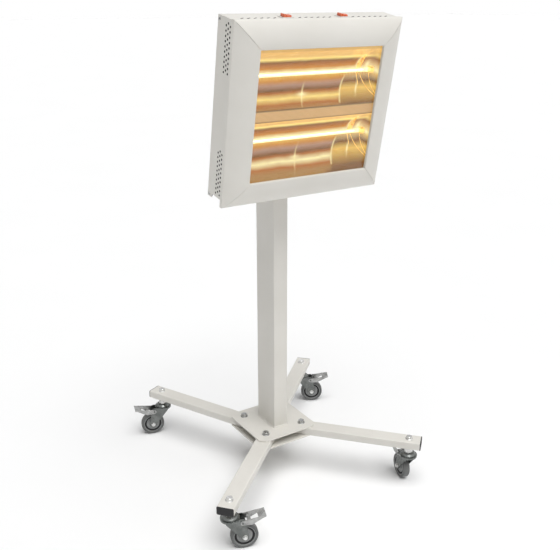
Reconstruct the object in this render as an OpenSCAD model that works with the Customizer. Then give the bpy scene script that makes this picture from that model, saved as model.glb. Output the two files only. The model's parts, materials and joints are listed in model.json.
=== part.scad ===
// Two-lamp infrared heat lamp on a wheeled stand.
// Front faces -Y, +X is the viewer's right, +Z is up.
// The origin is on the floor, on the axis of the column.

/* [Column] */
// Width of the column tube, side to side
column_w = 50; // [40:1:70]
// Depth of the column tube, front to back
column_d = 100; // [80:1:120]
// Wall of the column tube
column_wall = 2.5; // [2:0.5:4]
// Height of the tilt pivot above the floor
pivot_z = 1061; // [900:1:1400]
// Length of column above the tilt pivot
column_over = 40; // [30:1:60]

/* [Base] */
// Side of the square base plates
plate_w = 210; // [200:1:260]
// Thickness of each base plate
plate_t = 4; // [3:0.5:8]
// Corner cut of the base plates
plate_cut = 16; // [5:1:30]
// Distance of the pivot bolts from the column axis, in X and in Y
bolt_place = 68; // [64:1:85]
// Diameter of the hub bolts and of the caster stems
bolt_d = 12; // [10:1:14]

/* [Arms] */
// Width of an arm tube
arm_w = 50; // [40:1:60]
// Height of an arm tube
arm_h = 25; // [20:1:40]
// Wall of an arm tube
arm_wall = 2; // [1.5:0.5:4]
// Height of the underside of the arms above the floor
arm_z = 135; // [131:1:170]
// Distance from pivot bolt to caster stem
arm_reach = 352; // [300:1:450]
// Length of arm past the caster stem
arm_past = 39; // [28:1:60]
// Length of arm inside the pivot bolt
arm_inner = 30; // [24:1:36]
// Swing of the front left arm off its diagonal
swing_front_left = -3.5; // [-30:0.5:30]
// Swing of the front right arm off its diagonal
swing_front_right = -3; // [-30:0.5:30]
// Swing of the back left arm off its diagonal
swing_back_left = -19.5; // [-30:0.5:30]
// Swing of the back right arm off its diagonal
swing_back_right = -2; // [-30:0.5:30]

/* [Casters] */
// Diameter of the wheels
wheel_d = 80; // [70:1:88]
// Width of the wheels
wheel_w = 22; // [18:1:30]
// Radial depth of the tyre
tyre_depth = 8; // [5:0.5:14]
// Distance of the axle behind the caster stem
caster_trail = 40; // [34:1:44]
// Diameter of the axle
axle_d = 8; // [6:1:10]
// Thickness of the fork legs
fork_t = 3; // [2:0.5:4]
// Angle that each caster trails at, seen from above: front left
trail_front_left = -20; // [-180:5:180]
// Angle that the front right caster trails at
trail_front_right = 75; // [-180:5:180]
// Angle that the back left caster trails at
trail_back_left = 165; // [-180:5:180]
// Angle that the back right caster trails at
trail_back_right = -30; // [-180:5:180]

/* [Head] */
// Width of the glass opening
opening_w = 382; // [300:1:480]
// Height of the glass opening
opening_h = 345; // [320:1:420]
// Width of the bezel, from the opening to the outer edge
bezel_w = 68; // [60:1:80]
// How far the bezel falls back from the opening to its outer edge
bezel_fall = 24.5; // [20:0.5:30]
// How far the bezel bulges in front of a straight slope
bezel_bulge = 7; // [4:0.5:10]
// Thickness of the bezel sheet
bezel_t = 2; // [1.5:0.5:3]
// Depth from the opening to the outside of the back panel
head_depth = 105; // [102:1:130]
// Thickness of the housing sheet
sheet_t = 2; // [1.5:0.5:3]
// Forward tilt of the head at rest
head_tilt = 10.5; // [0:0.5:20]
// Depth of the pivot below the middle of the opening
pivot_drop = 150; // [140:1:160]
// Gap from the back panel to the pivot
pivot_gap = 26; // [24:1:34]
// Gap from the front of the column to the pivot
pivot_out = 23; // [22:1:34]

/* [Lamps] */
// Distance of each lamp from the middle of the opening
lamp_offset = 88; // [80:1:96]
// Diameter of the lamp tube
lamp_d = 11; // [8:1:14]
// How far the lamps' glass reaches past each side of the opening
lamp_past = 13; // [5:1:20]
// Half height of a reflector trough
trough_half = 73; // [60:1:76]
// Depth of a reflector trough
trough_depth = 80; // [60:1:82]
// Half height of the strip between the troughs
strip_half = 16; // [12:1:30]
// Thickness of the reflector sheet
reflector_t = 1.5; // [1:0.5:2]

/* [Switches] */
// Distance of the left switch to the left of the middle
switch_left = 95; // [70:1:130]
// Distance of the right switch to the right of the middle
switch_right = 79; // [70:1:130]
// Depth of the switches behind the opening
switch_depth = 55; // [52:1:66]
// Travel of a rocker from on to off
rocker_travel = 18; // [10:1:20]

/* [Hidden] */

$fn = 48;
fit = 0.05;            // radial clearance of pins and bolts in their holes
gap = 0.3;             // space between pieces that move past each other
cut = 1;               // how far a cutter runs past the face it cuts

// --- heights of the base ---
arm_top = arm_z + arm_h;
plate_low_z = arm_z - gap - plate_t;
plate_top_z = arm_top + gap;
column_z = plate_top_z + plate_t;
column_top = pivot_z + column_over;

// --- hexagon bolts ---
function hex_across(d) = 1.5 * d;
function hex_high(d) = 0.62 * d;
function nut_high(d) = 0.8 * d;
function washer_across(d) = 2 * d;
washer_t = 2;
hub_tail = 14;         // thread of a hub bolt below the lower plate
tilt_tail = 12;        // thread of the tilt bolt past the fork

// --- cap of the column ---
cap_t = 4;
cap_deep = 12;
cap_loose = 0.2;       // space round the cap's plug inside the tube
tube_inner_corner = 1; // inner corner radius of the tubes

// --- arms and casters: [side in X, side in Y, diagonal, swing, trail] ---
FRONT_LEFT = [-1, -1, -135, swing_front_left, trail_front_left];
FRONT_RIGHT = [1, -1, -45, swing_front_right, trail_front_right];
BACK_LEFT = [-1, 1, 135, swing_back_left, trail_back_left];
BACK_RIGHT = [1, 1, 45, swing_back_right, trail_back_right];
CORNERS = [FRONT_LEFT, FRONT_RIGHT, BACK_LEFT, BACK_RIGHT];
plug_t = 3;            // flange of an arm's end plug
plug_deep = 14;        // how far a plug reaches into its tube
plug_loose = 0.15;     // space round a plug inside its tube
tube_corner = 3;       // outer corner radius of the tubes

wheel_r = wheel_d / 2;
crown_low = wheel_d + 18;      // underside of the swivel crown
crown_top = crown_low + 14;
crown_r = 28;
collar_r = 13;
fork_in = wheel_w / 2 + 2;     // inner face of a fork leg
fork_out = fork_in + fork_t;
hub_half = fork_in - gap;
pedal_in = fork_out + 0.4;
pedal_t = 2.6;
pedal_out = pedal_in + pedal_t;
pedal_pin_x = caster_trail - 6;
pedal_pin_z = wheel_d + 10;
pedal_pin_d = 6;
pin_head = 1.5;                // how far a pedal pin stands out of the pedal
pedal_tip_x = caster_trail + 61;
pedal_tip_z = pedal_pin_z + 17;

// --- head, in its own frame: X right, Y away from the viewer, Z up the face ---
bezel_outer_w = opening_w + 2 * bezel_w;
bezel_outer_h = opening_h + 2 * bezel_w;
seam = 0.6;                    // open line of a mitred corner
lip = 8;                       // depth of the bezel's inner lip
glass_t = 4;
glass_over = 8;                // how far the glass reaches under the bezel
shell_front = bezel_fall + 2;
shell_w = bezel_outer_w - 6;
shell_top = bezel_outer_h / 2 - 2.5;
shell_low = -bezel_outer_h / 2 + 7.5;      // foot of the back panel
shell_floor = shell_low + 11;              // outside of the bottom sheet
panel_x = shell_w / 2 - sheet_t;           // inside face of a side panel
bezel_chord = norm([bezel_w, bezel_fall]);
bezel_r = (bezel_chord * bezel_chord / 4 + bezel_bulge * bezel_bulge) / (2 * bezel_bulge);
bezel_arc_s = bezel_w / 2 - (bezel_r - bezel_bulge) * bezel_fall / bezel_chord;
bezel_arc_y = bezel_fall / 2 + (bezel_r - bezel_bulge) * bezel_w / bezel_chord;

// the pivot is at a known place; the head's own origin follows from it
pivot_y = -column_d / 2 - pivot_out;
pivot_behind = head_depth + pivot_gap;
head_y = pivot_y - pivot_drop * sin(head_tilt) - pivot_behind * cos(head_tilt);
head_z = pivot_z + pivot_drop * cos(head_tilt) - pivot_behind * sin(head_tilt);
tilt_d = 10;
lug_t = 5;
lug_r = 18;
fork_foot = lug_r + 12;        // half height of the fork where it meets the column
ear_r = 16;
fork_half = column_w / 2;
ear_out = fork_half - lug_t - gap;
bracket_t = 3;
bracket_low = 50;              // how far the bracket reaches below the pivot
bracket_high = 70;             // and above it

// --- inside the head ---
trough_back = head_depth - sheet_t - reflector_t - gap;
trough_front = lip + glass_t + 1;          // where the reflectors meet the glass
trough_rim = trough_back - trough_depth;
trough_focus = trough_half * trough_half / (4 * trough_depth);
lamp_y = trough_back - trough_focus;
cap_length = 16;               // flat end of a lamp
holder_l = 13;                 // room for a lamp holder beyond it
trough_end = opening_w / 2 + lamp_past + cap_length + holder_l;
flange_out = opening_h / 2 + 6;            // outer edge of a trough's flange
trough_steps = 24;                         // straight runs that draw a trough's curve
lamp_length = opening_w + 2 * lamp_past;
lamp_end = lamp_length / 2 + cap_length;
holder_d = lamp_d + 9;         // depth of a lamp holder
holder_h = lamp_d + 11;        // and its height

// --- switches, vents and perforations ---
switch_w = 34;
switch_d = 25;
cavity_w = 26.4;
cavity_d = 18;
rocker_half = 11.5;
rocker_w = cavity_d - 2 * gap;
rocker_high = 10;              // top of a rocker's ends above its pivot
rocker_low = 3;                // and its foot below the pivot
rocker_under = 2;              // depth of the pivot below the top cover
rocker_pin = 1.5;              // radius of its pivot pins
vent_pitch = 18.5;
vent_l = 14;
vent_w = 3.5;
vent_turn = 30;                // slant of the vents
vent_y = shell_front + 24;
perf_d = 6;
perf_pitch = 10;               // between columns of holes
perf_rows = 10;
perf_step = 12.4;              // between holes of one column
perf_y = shell_front + 6.5;
perf_high = shell_top - 12;
screw_r = 4;                   // radius of a pan head
screw_h = 2.4;                 // height of a pan head
screw_in = 9;                  // distance of a housing screw from the back and the top
screw_up = 7;                  // and from the foot of the back panel
switch_under = 2.3;            // how far a switch's body stands past its cavity on each side

gland_x = 150;
gland_z = -165;
gland_thread = 20;
gland_bore = 4;

// ---------------------------------------------------------------- helpers

// Rectangle with rounded corners, centred.
module round_rect(w, h, r) {
    square([w - 2 * r, h], center = true);
    square([w, h - 2 * r], center = true);
    for (x = [-1, 1], y = [-1, 1])
        translate([x * (w / 2 - r), y * (h / 2 - r)]) circle(r);
}

// Hexagon prism standing on z = 0.
module hexagon(across, h) {
    cylinder(d = across / cos(30), h = h, $fn = 6);
}

// Hexagon bolt standing on z = 0, with a washer under its head and a nut below at -grip.
module hex_bolt(d, grip, tail) {
    union() {
        cylinder(d = washer_across(d), h = washer_t);
        translate([0, 0, washer_t]) hexagon(hex_across(d), hex_high(d));
        translate([0, 0, -grip - tail]) cylinder(d = d, h = grip + tail + washer_t);
        translate([0, 0, -grip - nut_high(d)]) hexagon(hex_across(d), nut_high(d));
    }
}

// Puts a piece that is drawn along +X at an arm's pivot bolt.
module at_arm(c) {
    translate([c[0] * bolt_place, c[1] * bolt_place, 0]) rotate([0, 0, c[2] + c[3]]) children();
}

// Puts a piece at a caster's stem, trailing along +X.
module at_caster(c) {
    at_arm(c) translate([arm_reach, 0, 0]) rotate([0, 0, c[4] - c[2] - c[3]]) children();
}

// Puts a piece that is drawn in the head's frame in its place.
module at_head() {
    translate([0, head_y, head_z]) rotate([head_tilt, 0, 0]) children();
}

// Extrudes an outline of the XZ plane from y = y0 to y = y1.
module along_y(y0, y1) {
    translate([0, y1, 0]) rotate([90, 0, 0]) linear_extrude(y1 - y0) children();
}

// Extrudes an outline given in (y, z) from x = x0 to x = x1.
module along_x(x0, x1) {
    translate([x0, 0, 0]) rotate([90, 0, 90]) linear_extrude(x1 - x0) children();
}

// ---------------------------------------------------------------- stand

module plate_outline() {
    h = plate_w / 2;
    k = h - plate_cut;
    polygon([[-k, -h], [k, -h], [h, -k], [h, k], [k, h], [-k, h], [-h, k], [-h, -k]]);
}

module base_plate(z) {
    color("gainsboro") translate([0, 0, z]) linear_extrude(plate_t) difference() {
        plate_outline();
        for (c = CORNERS)
            translate([c[0] * bolt_place, c[1] * bolt_place]) circle(d = bolt_d + 2 * fit);
    }
}

module column() {
    color("gainsboro") translate([0, 0, column_z]) linear_extrude(column_top - column_z)
        difference() {
            round_rect(column_w, column_d, tube_corner);
            round_rect(column_w - 2 * column_wall, column_d - 2 * column_wall, tube_inner_corner);
        }
}

module column_cap() {
    hollow = 2 * (column_wall + cap_loose);
    color("dimgray") translate([0, 0, column_top]) {
        linear_extrude(cap_t) round_rect(column_w, column_d, tube_corner);
        translate([0, 0, -cap_deep]) linear_extrude(cap_deep + cap_t / 2)
            round_rect(column_w - hollow, column_d - hollow, tube_inner_corner);
    }
}

// One upright lug of the tilt fork, as an outline in (y, z).
module fork_lug() {
    difference() {
        union() {
            translate([pivot_y, pivot_z]) circle(lug_r);
            polygon([[pivot_y, pivot_z - lug_r], [-column_d / 2, pivot_z - fork_foot],
                     [-column_d / 2, pivot_z + fork_foot], [pivot_y, pivot_z + lug_r]]);
        }
        translate([pivot_y, pivot_z]) circle(d = tilt_d + 2 * fit);
    }
}

module tilt_fork() {
    pad_t = 4;
    color("gainsboro") union() {
        along_x(-fork_half, -fork_half + lug_t) fork_lug();
        along_x(fork_half - lug_t, fork_half) fork_lug();
        translate([-fork_half, -column_d / 2 - pad_t, pivot_z - fork_foot])
            cube([2 * fork_half, pad_t, 2 * fork_foot]);
    }
}

module hub_bolts() {
    color("silver") for (c = CORNERS)
        translate([c[0] * bolt_place, c[1] * bolt_place, column_z])
            hex_bolt(bolt_d, column_z - plate_low_z, hub_tail);
}

module tilt_bolt() {
    color("silver") translate([fork_half, pivot_y, pivot_z]) rotate([0, 90, 0])
        hex_bolt(tilt_d, 2 * fork_half, tilt_tail);
}

// ---------------------------------------------------------------- arms

module arm_tube(c) {
    length = arm_inner + arm_reach + arm_past - plug_t;
    color("gainsboro") at_arm(c) difference() {
        translate([-arm_inner, 0, arm_z + arm_h / 2]) rotate([90, 0, 90])
            linear_extrude(length) difference() {
                round_rect(arm_w, arm_h, tube_corner);
                round_rect(arm_w - 2 * arm_wall, arm_h - 2 * arm_wall, tube_inner_corner);
            }
        for (x = [0, arm_reach])
            translate([x, 0, arm_z - cut]) cylinder(d = bolt_d + 2 * fit, h = arm_h + 2 * cut);
    }
}

module arm_plug(c) {
    hollow = 2 * (arm_wall + plug_loose);
    end = arm_reach + arm_past;
    color("black") at_arm(c) translate([end - plug_t, 0, arm_z + arm_h / 2])
        rotate([90, 0, 90]) {
            linear_extrude(plug_t) round_rect(arm_w, arm_h, tube_corner);
            translate([0, 0, -plug_deep]) linear_extrude(plug_deep + plug_t / 2)
                round_rect(arm_w - hollow, arm_h - hollow, tube_inner_corner);
        }
}

// Stem bolt through the arm, the collar below it and the head that holds the swivel.
module caster_stem(c) {
    collar_z = crown_top + gap;
    keeper_t = 4;
    keeper_z = crown_low - gap - keeper_t;
    flange_t = 6;
    color("silver") at_caster(c) union() {
        translate([0, 0, arm_top]) cylinder(d = washer_across(bolt_d), h = washer_t);
        translate([0, 0, arm_top + washer_t]) hexagon(hex_across(bolt_d), hex_high(bolt_d));
        translate([0, 0, keeper_z]) cylinder(d = bolt_d, h = arm_top + washer_t - keeper_z);
        translate([0, 0, collar_z]) cylinder(r = collar_r, h = arm_z - collar_z);
        translate([0, 0, arm_z - flange_t]) cylinder(r = collar_r + 3, h = flange_t);
        translate([0, 0, keeper_z]) cylinder(r = bolt_d / 2 + 4, h = keeper_t);
    }
}

// ---------------------------------------------------------------- casters

// Swivel crown as a turned profile around the stem.
module crown() {
    rotate_extrude() difference() {
        union() {
            translate([0, crown_low]) square([crown_r, 6]);
            translate([0, crown_low + 5]) square([crown_r - 3, 4]);
            polygon([[0, crown_low + 8], [crown_r - 4, crown_low + 8], [crown_r - 9, crown_top],
                     [0, crown_top]]);
        }
        square([bolt_d / 2 + fit, 2 * crown_top]);
    }
}

// Side view of a fork leg, as an outline in (x, z).
module leg_outline() {
    axle_pad = axle_d / 2 + 8;
    difference() {
        union() {
            polygon([[-crown_r * 0.5, crown_low + 3], [-crown_r * 0.5, crown_low - 8],
                     [caster_trail - axle_pad, wheel_r], [caster_trail + axle_pad, wheel_r],
                     [pedal_pin_x + 10, pedal_pin_z - 2], [pedal_pin_x + 4, crown_low + 3]]);
            translate([caster_trail, wheel_r]) circle(axle_pad);
            translate([pedal_pin_x, pedal_pin_z]) circle(8);
        }
        translate([caster_trail, wheel_r]) circle(d = axle_d + 2 * fit);
    }
}

module caster_fork(c) {
    color("silver") at_caster(c) union() {
        along_y(-fork_out, -fork_in) leg_outline();
        along_y(fork_in, fork_out) leg_outline();
        crown();
        for (s = [-1, 1])
            translate([pedal_pin_x, s * (fork_in + fork_t / 2), pedal_pin_z]) rotate([-90 * s, 0, 0])
                cylinder(d = pedal_pin_d, h = pedal_out - fork_in - fork_t / 2 + pin_head);
    }
}

module axle(c) {
    head_h = 5;
    color("silver") at_caster(c) translate([caster_trail, 0, wheel_r]) rotate([-90, 0, 0])
        union() {
            translate([0, 0, -fork_out]) cylinder(d = axle_d, h = 2 * fork_out);
            translate([0, 0, fork_out]) hexagon(1.6 * axle_d, head_h);
            translate([0, 0, -fork_out - head_h]) hexagon(1.6 * axle_d, head_h);
        }
}

// Half section of the wheel core, in (radius, width).
module core_section() {
    rim = wheel_r - tyre_depth;
    web = 3;
    hub = axle_d / 2 + 8;
    difference() {
        union() {
            translate([0, -hub_half]) square([hub, 2 * hub_half]);
            translate([0, -web]) square([rim, 2 * web]);
            translate([rim - 3, -wheel_w / 2 + 1]) square([3, wheel_w - 2]);
        }
        translate([0, -wheel_w]) square([axle_d / 2 + fit, 2 * wheel_w]);
    }
}

module wheel_core(c) {
    color("gray") at_caster(c) translate([caster_trail, 0, wheel_r]) rotate([90, 0, 0])
        rotate_extrude() core_section();
}

// Tyre with rounded shoulders.
module tyre(c) {
    rim = wheel_r - tyre_depth;
    shoulder = min(tyre_depth / 2, wheel_w / 4);
    color("darkgray") at_caster(c) translate([caster_trail, 0, wheel_r]) rotate([90, 0, 0])
        rotate_extrude() {
            translate([rim, -wheel_w / 2]) square([tyre_depth - shoulder, wheel_w]);
            translate([rim, -wheel_w / 2 + shoulder]) square([tyre_depth, wheel_w - 2 * shoulder]);
            for (s = [-1, 1])
                translate([wheel_r - shoulder, s * (wheel_w / 2 - shoulder)]) circle(shoulder);
        }
}

// Side cheek of the brake pedal, as an outline in (x, z).
module pedal_cheek() {
    difference() {
        union() {
            translate([pedal_pin_x, pedal_pin_z]) circle(7);
            polygon([[pedal_pin_x, pedal_pin_z - 7], [caster_trail + 10, pedal_pin_z - 8],
                     [caster_trail + 20, pedal_pin_z - 8], [pedal_tip_x - 8, pedal_tip_z - 7],
                     [pedal_tip_x, pedal_tip_z - 4], [pedal_tip_x, pedal_tip_z],
                     [pedal_tip_x - 12, pedal_tip_z - 2], [pedal_pin_x, pedal_pin_z + 7]]);
        }
        translate([pedal_pin_x, pedal_pin_z]) circle(d = pedal_pin_d + 2 * fit);
    }
}

module pedal(c) {
    color("silver") at_caster(c) union() {
        along_y(-pedal_out, -pedal_in) pedal_cheek();
        along_y(pedal_in, pedal_out) pedal_cheek();
        // shoe over the tread
        along_y(-pedal_out, pedal_out)
            polygon([[caster_trail + 10, pedal_pin_z - 8], [caster_trail + 20, pedal_pin_z - 8],
                     [caster_trail + 20, pedal_pin_z - 3], [caster_trail + 10, pedal_pin_z - 2]]);
        // tread that the foot presses
        along_y(-pedal_out, pedal_out)
            polygon([[pedal_tip_x - 22, pedal_tip_z - 7], [pedal_tip_x, pedal_tip_z - 3],
                     [pedal_tip_x, pedal_tip_z], [pedal_tip_x - 22, pedal_tip_z - 4]]);
    }
}

// ---------------------------------------------------------------- head

// Cross-section of the bezel in (s, y): s runs outwards from the opening.
module bezel_section() {
    difference() {
        intersection() {
            translate([bezel_arc_s, bezel_arc_y]) circle(bezel_r, $fn = 180);
            translate([0, -bezel_bulge]) square([bezel_w, bezel_fall + bezel_bulge + 9]);
        }
        intersection() {
            translate([bezel_arc_s, bezel_arc_y]) circle(bezel_r - bezel_t, $fn = 180);
            translate([bezel_t, -bezel_bulge])
                square([bezel_w - 2 * bezel_t, bezel_fall + bezel_bulge + 19]);
        }
        translate([-cut, lip]) square([cut + bezel_t, bezel_fall + 20]);
    }
}

// A bezel strip along X above the opening, mitred at both ends.
module bezel_strip(open_w, open_h) {
    w = open_w / 2;
    h = open_h / 2;
    intersection() {
        translate([-w - bezel_w, 0, h]) rotate([90, 0, 90])
            linear_extrude(2 * (w + bezel_w)) mirror([1, 0]) rotate(90) bezel_section();
        along_y(-bezel_bulge - 1, bezel_fall + 20)
            polygon([[-w + cut + seam / 2, h - cut], [w - cut - seam / 2, h - cut],
                     [w + bezel_w + cut - seam / 2, h + bezel_w + cut],
                     [-w - bezel_w - cut + seam / 2, h + bezel_w + cut]]);
    }
}

module bezel_top() {
    color("whitesmoke") at_head() bezel_strip(opening_w, opening_h);
}

module bezel_bottom() {
    color("whitesmoke") at_head() rotate([0, 180, 0]) bezel_strip(opening_w, opening_h);
}

module bezel_left() {
    color("whitesmoke") at_head() rotate([0, -90, 0]) bezel_strip(opening_h, opening_w);
}

module bezel_right() {
    color("whitesmoke") at_head() rotate([0, 90, 0]) bezel_strip(opening_h, opening_w);
}

// Folded sheet of the housing, its back and its floor, as an outline in (y, z).
module shell_section() {
    back = head_depth - sheet_t;
    translate([back, shell_low]) square([sheet_t, shell_top - sheet_t - shell_low]);
    translate([shell_front, shell_floor]) square([head_depth - shell_front, sheet_t]);
}

// True where a vent at x would run into a switch.
function near_switch(x) =
    abs(x + switch_left) < switch_w / 2 + vent_l || abs(x - switch_right) < switch_w / 2 + vent_l;

module housing_shell() {
    color("whitesmoke") at_head() difference() {
        along_x(-panel_x, panel_x) shell_section();
        translate([gland_x, head_depth - sheet_t - cut, gland_z]) rotate([-90, 0, 0])
            cylinder(d = gland_thread + 2 * fit, h = sheet_t + 2 * cut);
    }
}

// Top cover, with the switch cut-outs and a row of slanted vents behind the bezel.
module housing_top() {
    vents = floor((panel_x - vent_l) / vent_pitch);
    through = 2 * sheet_t + cut;
    color("whitesmoke") at_head() difference() {
        translate([-panel_x, shell_front, shell_top - sheet_t])
            cube([2 * panel_x, head_depth - shell_front, sheet_t]);
        for (x = [-switch_left, switch_right])
            translate([x, switch_depth, shell_top - sheet_t / 2])
                cube([cavity_w + 2 * switch_under, cavity_d + 2 * switch_under, through],
                     center = true);
        for (i = [-vents:vents]) {
            x = i * vent_pitch;
            if (!near_switch(x))
                translate([x, vent_y, shell_top]) rotate([0, 0, vent_turn])
                    cube([vent_l, vent_w, through], center = true);
        }
    }
}

// Side panel, as an outline in (y, z), with its foot and its perforations.
module panel_outline() {
    foot = head_depth - 22;
    difference() {
        translate([shell_front, shell_low]) square([head_depth - shell_front, shell_top - shell_low]);
        translate([shell_front - cut, shell_low - cut])
            square([foot - 8 - shell_front + cut, shell_floor - shell_low + cut]);
        translate([foot - 8, shell_low - cut])
            square([8, shell_floor - shell_low + cut - 8]);
        translate([foot - 8, shell_floor - 8]) circle(8);
        for (top = [perf_high, shell_floor + 11 + (perf_rows - 0.5) * perf_step])
            for (i = [0:3], j = [0:perf_rows - 1])
                translate([perf_y + i * perf_pitch, top - (j + (i % 2) / 2) * perf_step])
                    circle(d = perf_d, $fn = 16);
        for (z = [shell_top - screw_in, shell_low + screw_up])
            translate([head_depth - screw_in, z]) circle(r = screw_r / 2);
    }
}

module side_panel(x0) {
    color("whitesmoke") at_head() along_x(x0, x0 + sheet_t) panel_outline();
}

module glass() {
    color("lightyellow", 0.35) at_head() translate([-opening_w / 2 - glass_over, lip,
        -opening_h / 2 - glass_over])
        cube([opening_w + 2 * glass_over, glass_t, opening_h + 2 * glass_over]);
}

// Parabola of a trough: depth in front of its deepest line at height z.
function trough(z) = z * z / (4 * trough_focus);

// Heights at which a trough's curve is drawn.
function trough_heights() = [for (i = [0:trough_steps]) trough_half * (2 * i / trough_steps - 1)];

// Points (y, z) of a trough's curve, moved back by a distance.
function trough_curve(back) = [for (z = trough_heights()) [trough_back - trough(z) + back, z]];

function reversed(list) = [for (i = [len(list) - 1:-1:0]) list[i]];

// Section of the reflector sheet in (y, z), with its flange on the outer side.
module trough_section() {
    flange = flange_out - lamp_offset;
    polygon(concat(trough_curve(0), reversed(trough_curve(reflector_t))));
    translate([trough_rim, trough_half - reflector_t]) square([reflector_t, flange - trough_half]);
    translate([trough_front, flange - reflector_t])
        square([trough_rim - trough_front + reflector_t, reflector_t]);
}

// End plate of a trough, filling its mouth up to the glass.
module trough_end_outline() {
    flange = flange_out - lamp_offset;
    polygon(concat(trough_curve(0), [[trough_rim, flange], [trough_front, flange],
                                     [trough_front, -trough_half]]));
}

module reflector() {
    color("goldenrod") union() {
        along_x(-trough_end, trough_end) trough_section();
        for (x = [-trough_end, trough_end - reflector_t])
            along_x(x, x + reflector_t) trough_end_outline();
    }
}

module reflector_upper() {
    at_head() translate([0, 0, lamp_offset]) reflector();
}

module reflector_lower() {
    at_head() mirror([0, 0, 1]) translate([0, 0, lamp_offset]) reflector();
}

// Strip over the rims of the two troughs, held by its two ends.
module centre_strip() {
    reach = trough_end - reflector_t;
    color("tan") at_head() translate([-reach, trough_rim - gap - reflector_t, -strip_half])
        cube([2 * reach, reflector_t, 2 * strip_half]);
}

module lamp(z) {
    color("lightyellow") at_head() translate([0, lamp_y, z]) rotate([0, 90, 0]) union() {
        cylinder(d = lamp_d, h = lamp_length, center = true);
        for (s = [-1, 1])
            translate([0, 0, s * (lamp_length + cap_length) / 2])
                cube([lamp_d - 3, lamp_d + 2, cap_length], center = true);
    }
}

module lamp_holders() {
    wide = trough_end - reflector_t - lamp_end - gap;
    color("ivory") at_head() for (z = [-lamp_offset, lamp_offset], s = [-1, 1])
        translate([s * (lamp_end + wide / 2), lamp_y, z])
            cube([wide, holder_d, holder_h], center = true);
}

// ---------------------------------------------------------------- fittings

// Compression gland through the back panel: body, cap nut and inner nut round one bore.
module cable_gland() {
    outer_l = 22;
    inner_l = sheet_t + 6;
    nut_t = 5;
    color("dimgray") at_head() translate([gland_x, head_depth, gland_z]) rotate([-90, 0, 0])
        difference() {
            union() {
                hexagon(25, nut_t + 1);
                cylinder(d = gland_thread - 1, h = outer_l - 8);
                translate([0, 0, 9]) hexagon(23, outer_l - 12);
                translate([0, 0, outer_l - 4]) cylinder(d1 = gland_thread, d2 = 15, h = 4);
                translate([0, 0, -inner_l]) cylinder(d = gland_thread, h = inner_l + cut);
                translate([0, 0, -sheet_t - nut_t]) hexagon(25, nut_t);
            }
            translate([0, 0, -inner_l - cut])
                cylinder(r = gland_bore, h = outer_l + inner_l + 2 * cut);
        }
}

// Frame of a rocker switch: a flange on the housing and a sleeve through it.
module switch_body(x) {
    rim = 2;
    sleeve = 18.5;
    wall = switch_under - gap;
    translate([x, switch_depth, shell_top]) difference() {
        union() {
            translate([-switch_w / 2, -switch_d / 2, 0]) cube([switch_w, switch_d, rim]);
            translate([-cavity_w / 2 - wall, -cavity_d / 2 - wall, -sleeve])
                cube([cavity_w + 2 * wall, cavity_d + 2 * wall, sleeve + rim / 2]);
        }
        translate([-cavity_w / 2, -cavity_d / 2, -sleeve + rim])
            cube([cavity_w, cavity_d, sleeve + cut]);
        translate([0, 0, -rocker_under]) rotate([90, 0, 0])
            cylinder(r = rocker_pin + fit, h = cavity_d + 4 * wall, center = true);
    }
}

module switch_bodies() {
    color("black") at_head() for (x = [-switch_left, switch_right]) switch_body(x);
}

// Rocker, pressed down at its left end; it turns on two pins along Y.
module rocker(x) {
    reach = cavity_d / 2 + switch_under - 2 * gap;
    shoulder = rocker_under + gap;
    color("orangered") at_head() translate([x, switch_depth, shell_top - rocker_under])
        rotate([0, rocker_travel / 2, 0]) union() {
            along_y(-rocker_w / 2, rocker_w / 2)
                polygon([[-rocker_half, shoulder], [-4, -rocker_low], [4, -rocker_low],
                         [rocker_half, shoulder], [rocker_half, rocker_high],
                         [0, rocker_high - 2.5], [-rocker_half, rocker_high]]);
            rotate([90, 0, 0]) cylinder(r = rocker_pin, h = 2 * reach, center = true);
        }
}

module rocker_left() { rocker(-switch_left); }

module rocker_right() { rocker(switch_right); }

// Bracket on the back panel: a plate and two ears inside the lugs of the fork.
module head_bracket() {
    ear_y = head_depth + pivot_gap;
    color("gainsboro") at_head() translate([0, 0, -pivot_drop]) union() {
        translate([-fork_half - 8, head_depth, -bracket_low])
            cube([2 * fork_half + 16, bracket_t, bracket_low + bracket_high]);
        for (s = [-1, 1])
            along_x(s * (ear_out - lug_t / 2) - lug_t / 2, s * (ear_out - lug_t / 2) + lug_t / 2)
                difference() {
                    union() {
                        translate([ear_y, 0]) circle(ear_r);
                        polygon([[head_depth, -ear_r - 8], [ear_y, -ear_r], [ear_y, ear_r],
                                 [head_depth, ear_r + 8]]);
                    }
                    translate([ear_y, 0]) circle(d = tilt_d + 2 * fit);
                }
    }
}

// Pan head screw along +Z, head on z = 0.
module pan_screw(length) {
    cylinder(r = screw_r, h = screw_h);
    translate([0, 0, -length]) cylinder(r = screw_r / 2, h = length + cut);
}

module housing_screws() {
    color("silver") at_head() {
        for (s = [-1, 1], z = [shell_top - screw_in, shell_low + screw_up])
            translate([s * shell_w / 2, head_depth - screw_in, z]) rotate([0, 90 * s, 0])
                pan_screw(6);
        for (s = [-1, 1], z = [-bracket_low + 10, bracket_high - 10])
            translate([s * fork_half, head_depth + bracket_t, z - pivot_drop])
                rotate([-90, 0, 0]) cylinder(r = screw_r, h = screw_h);
    }
}

// ---------------------------------------------------------------- output

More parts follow.
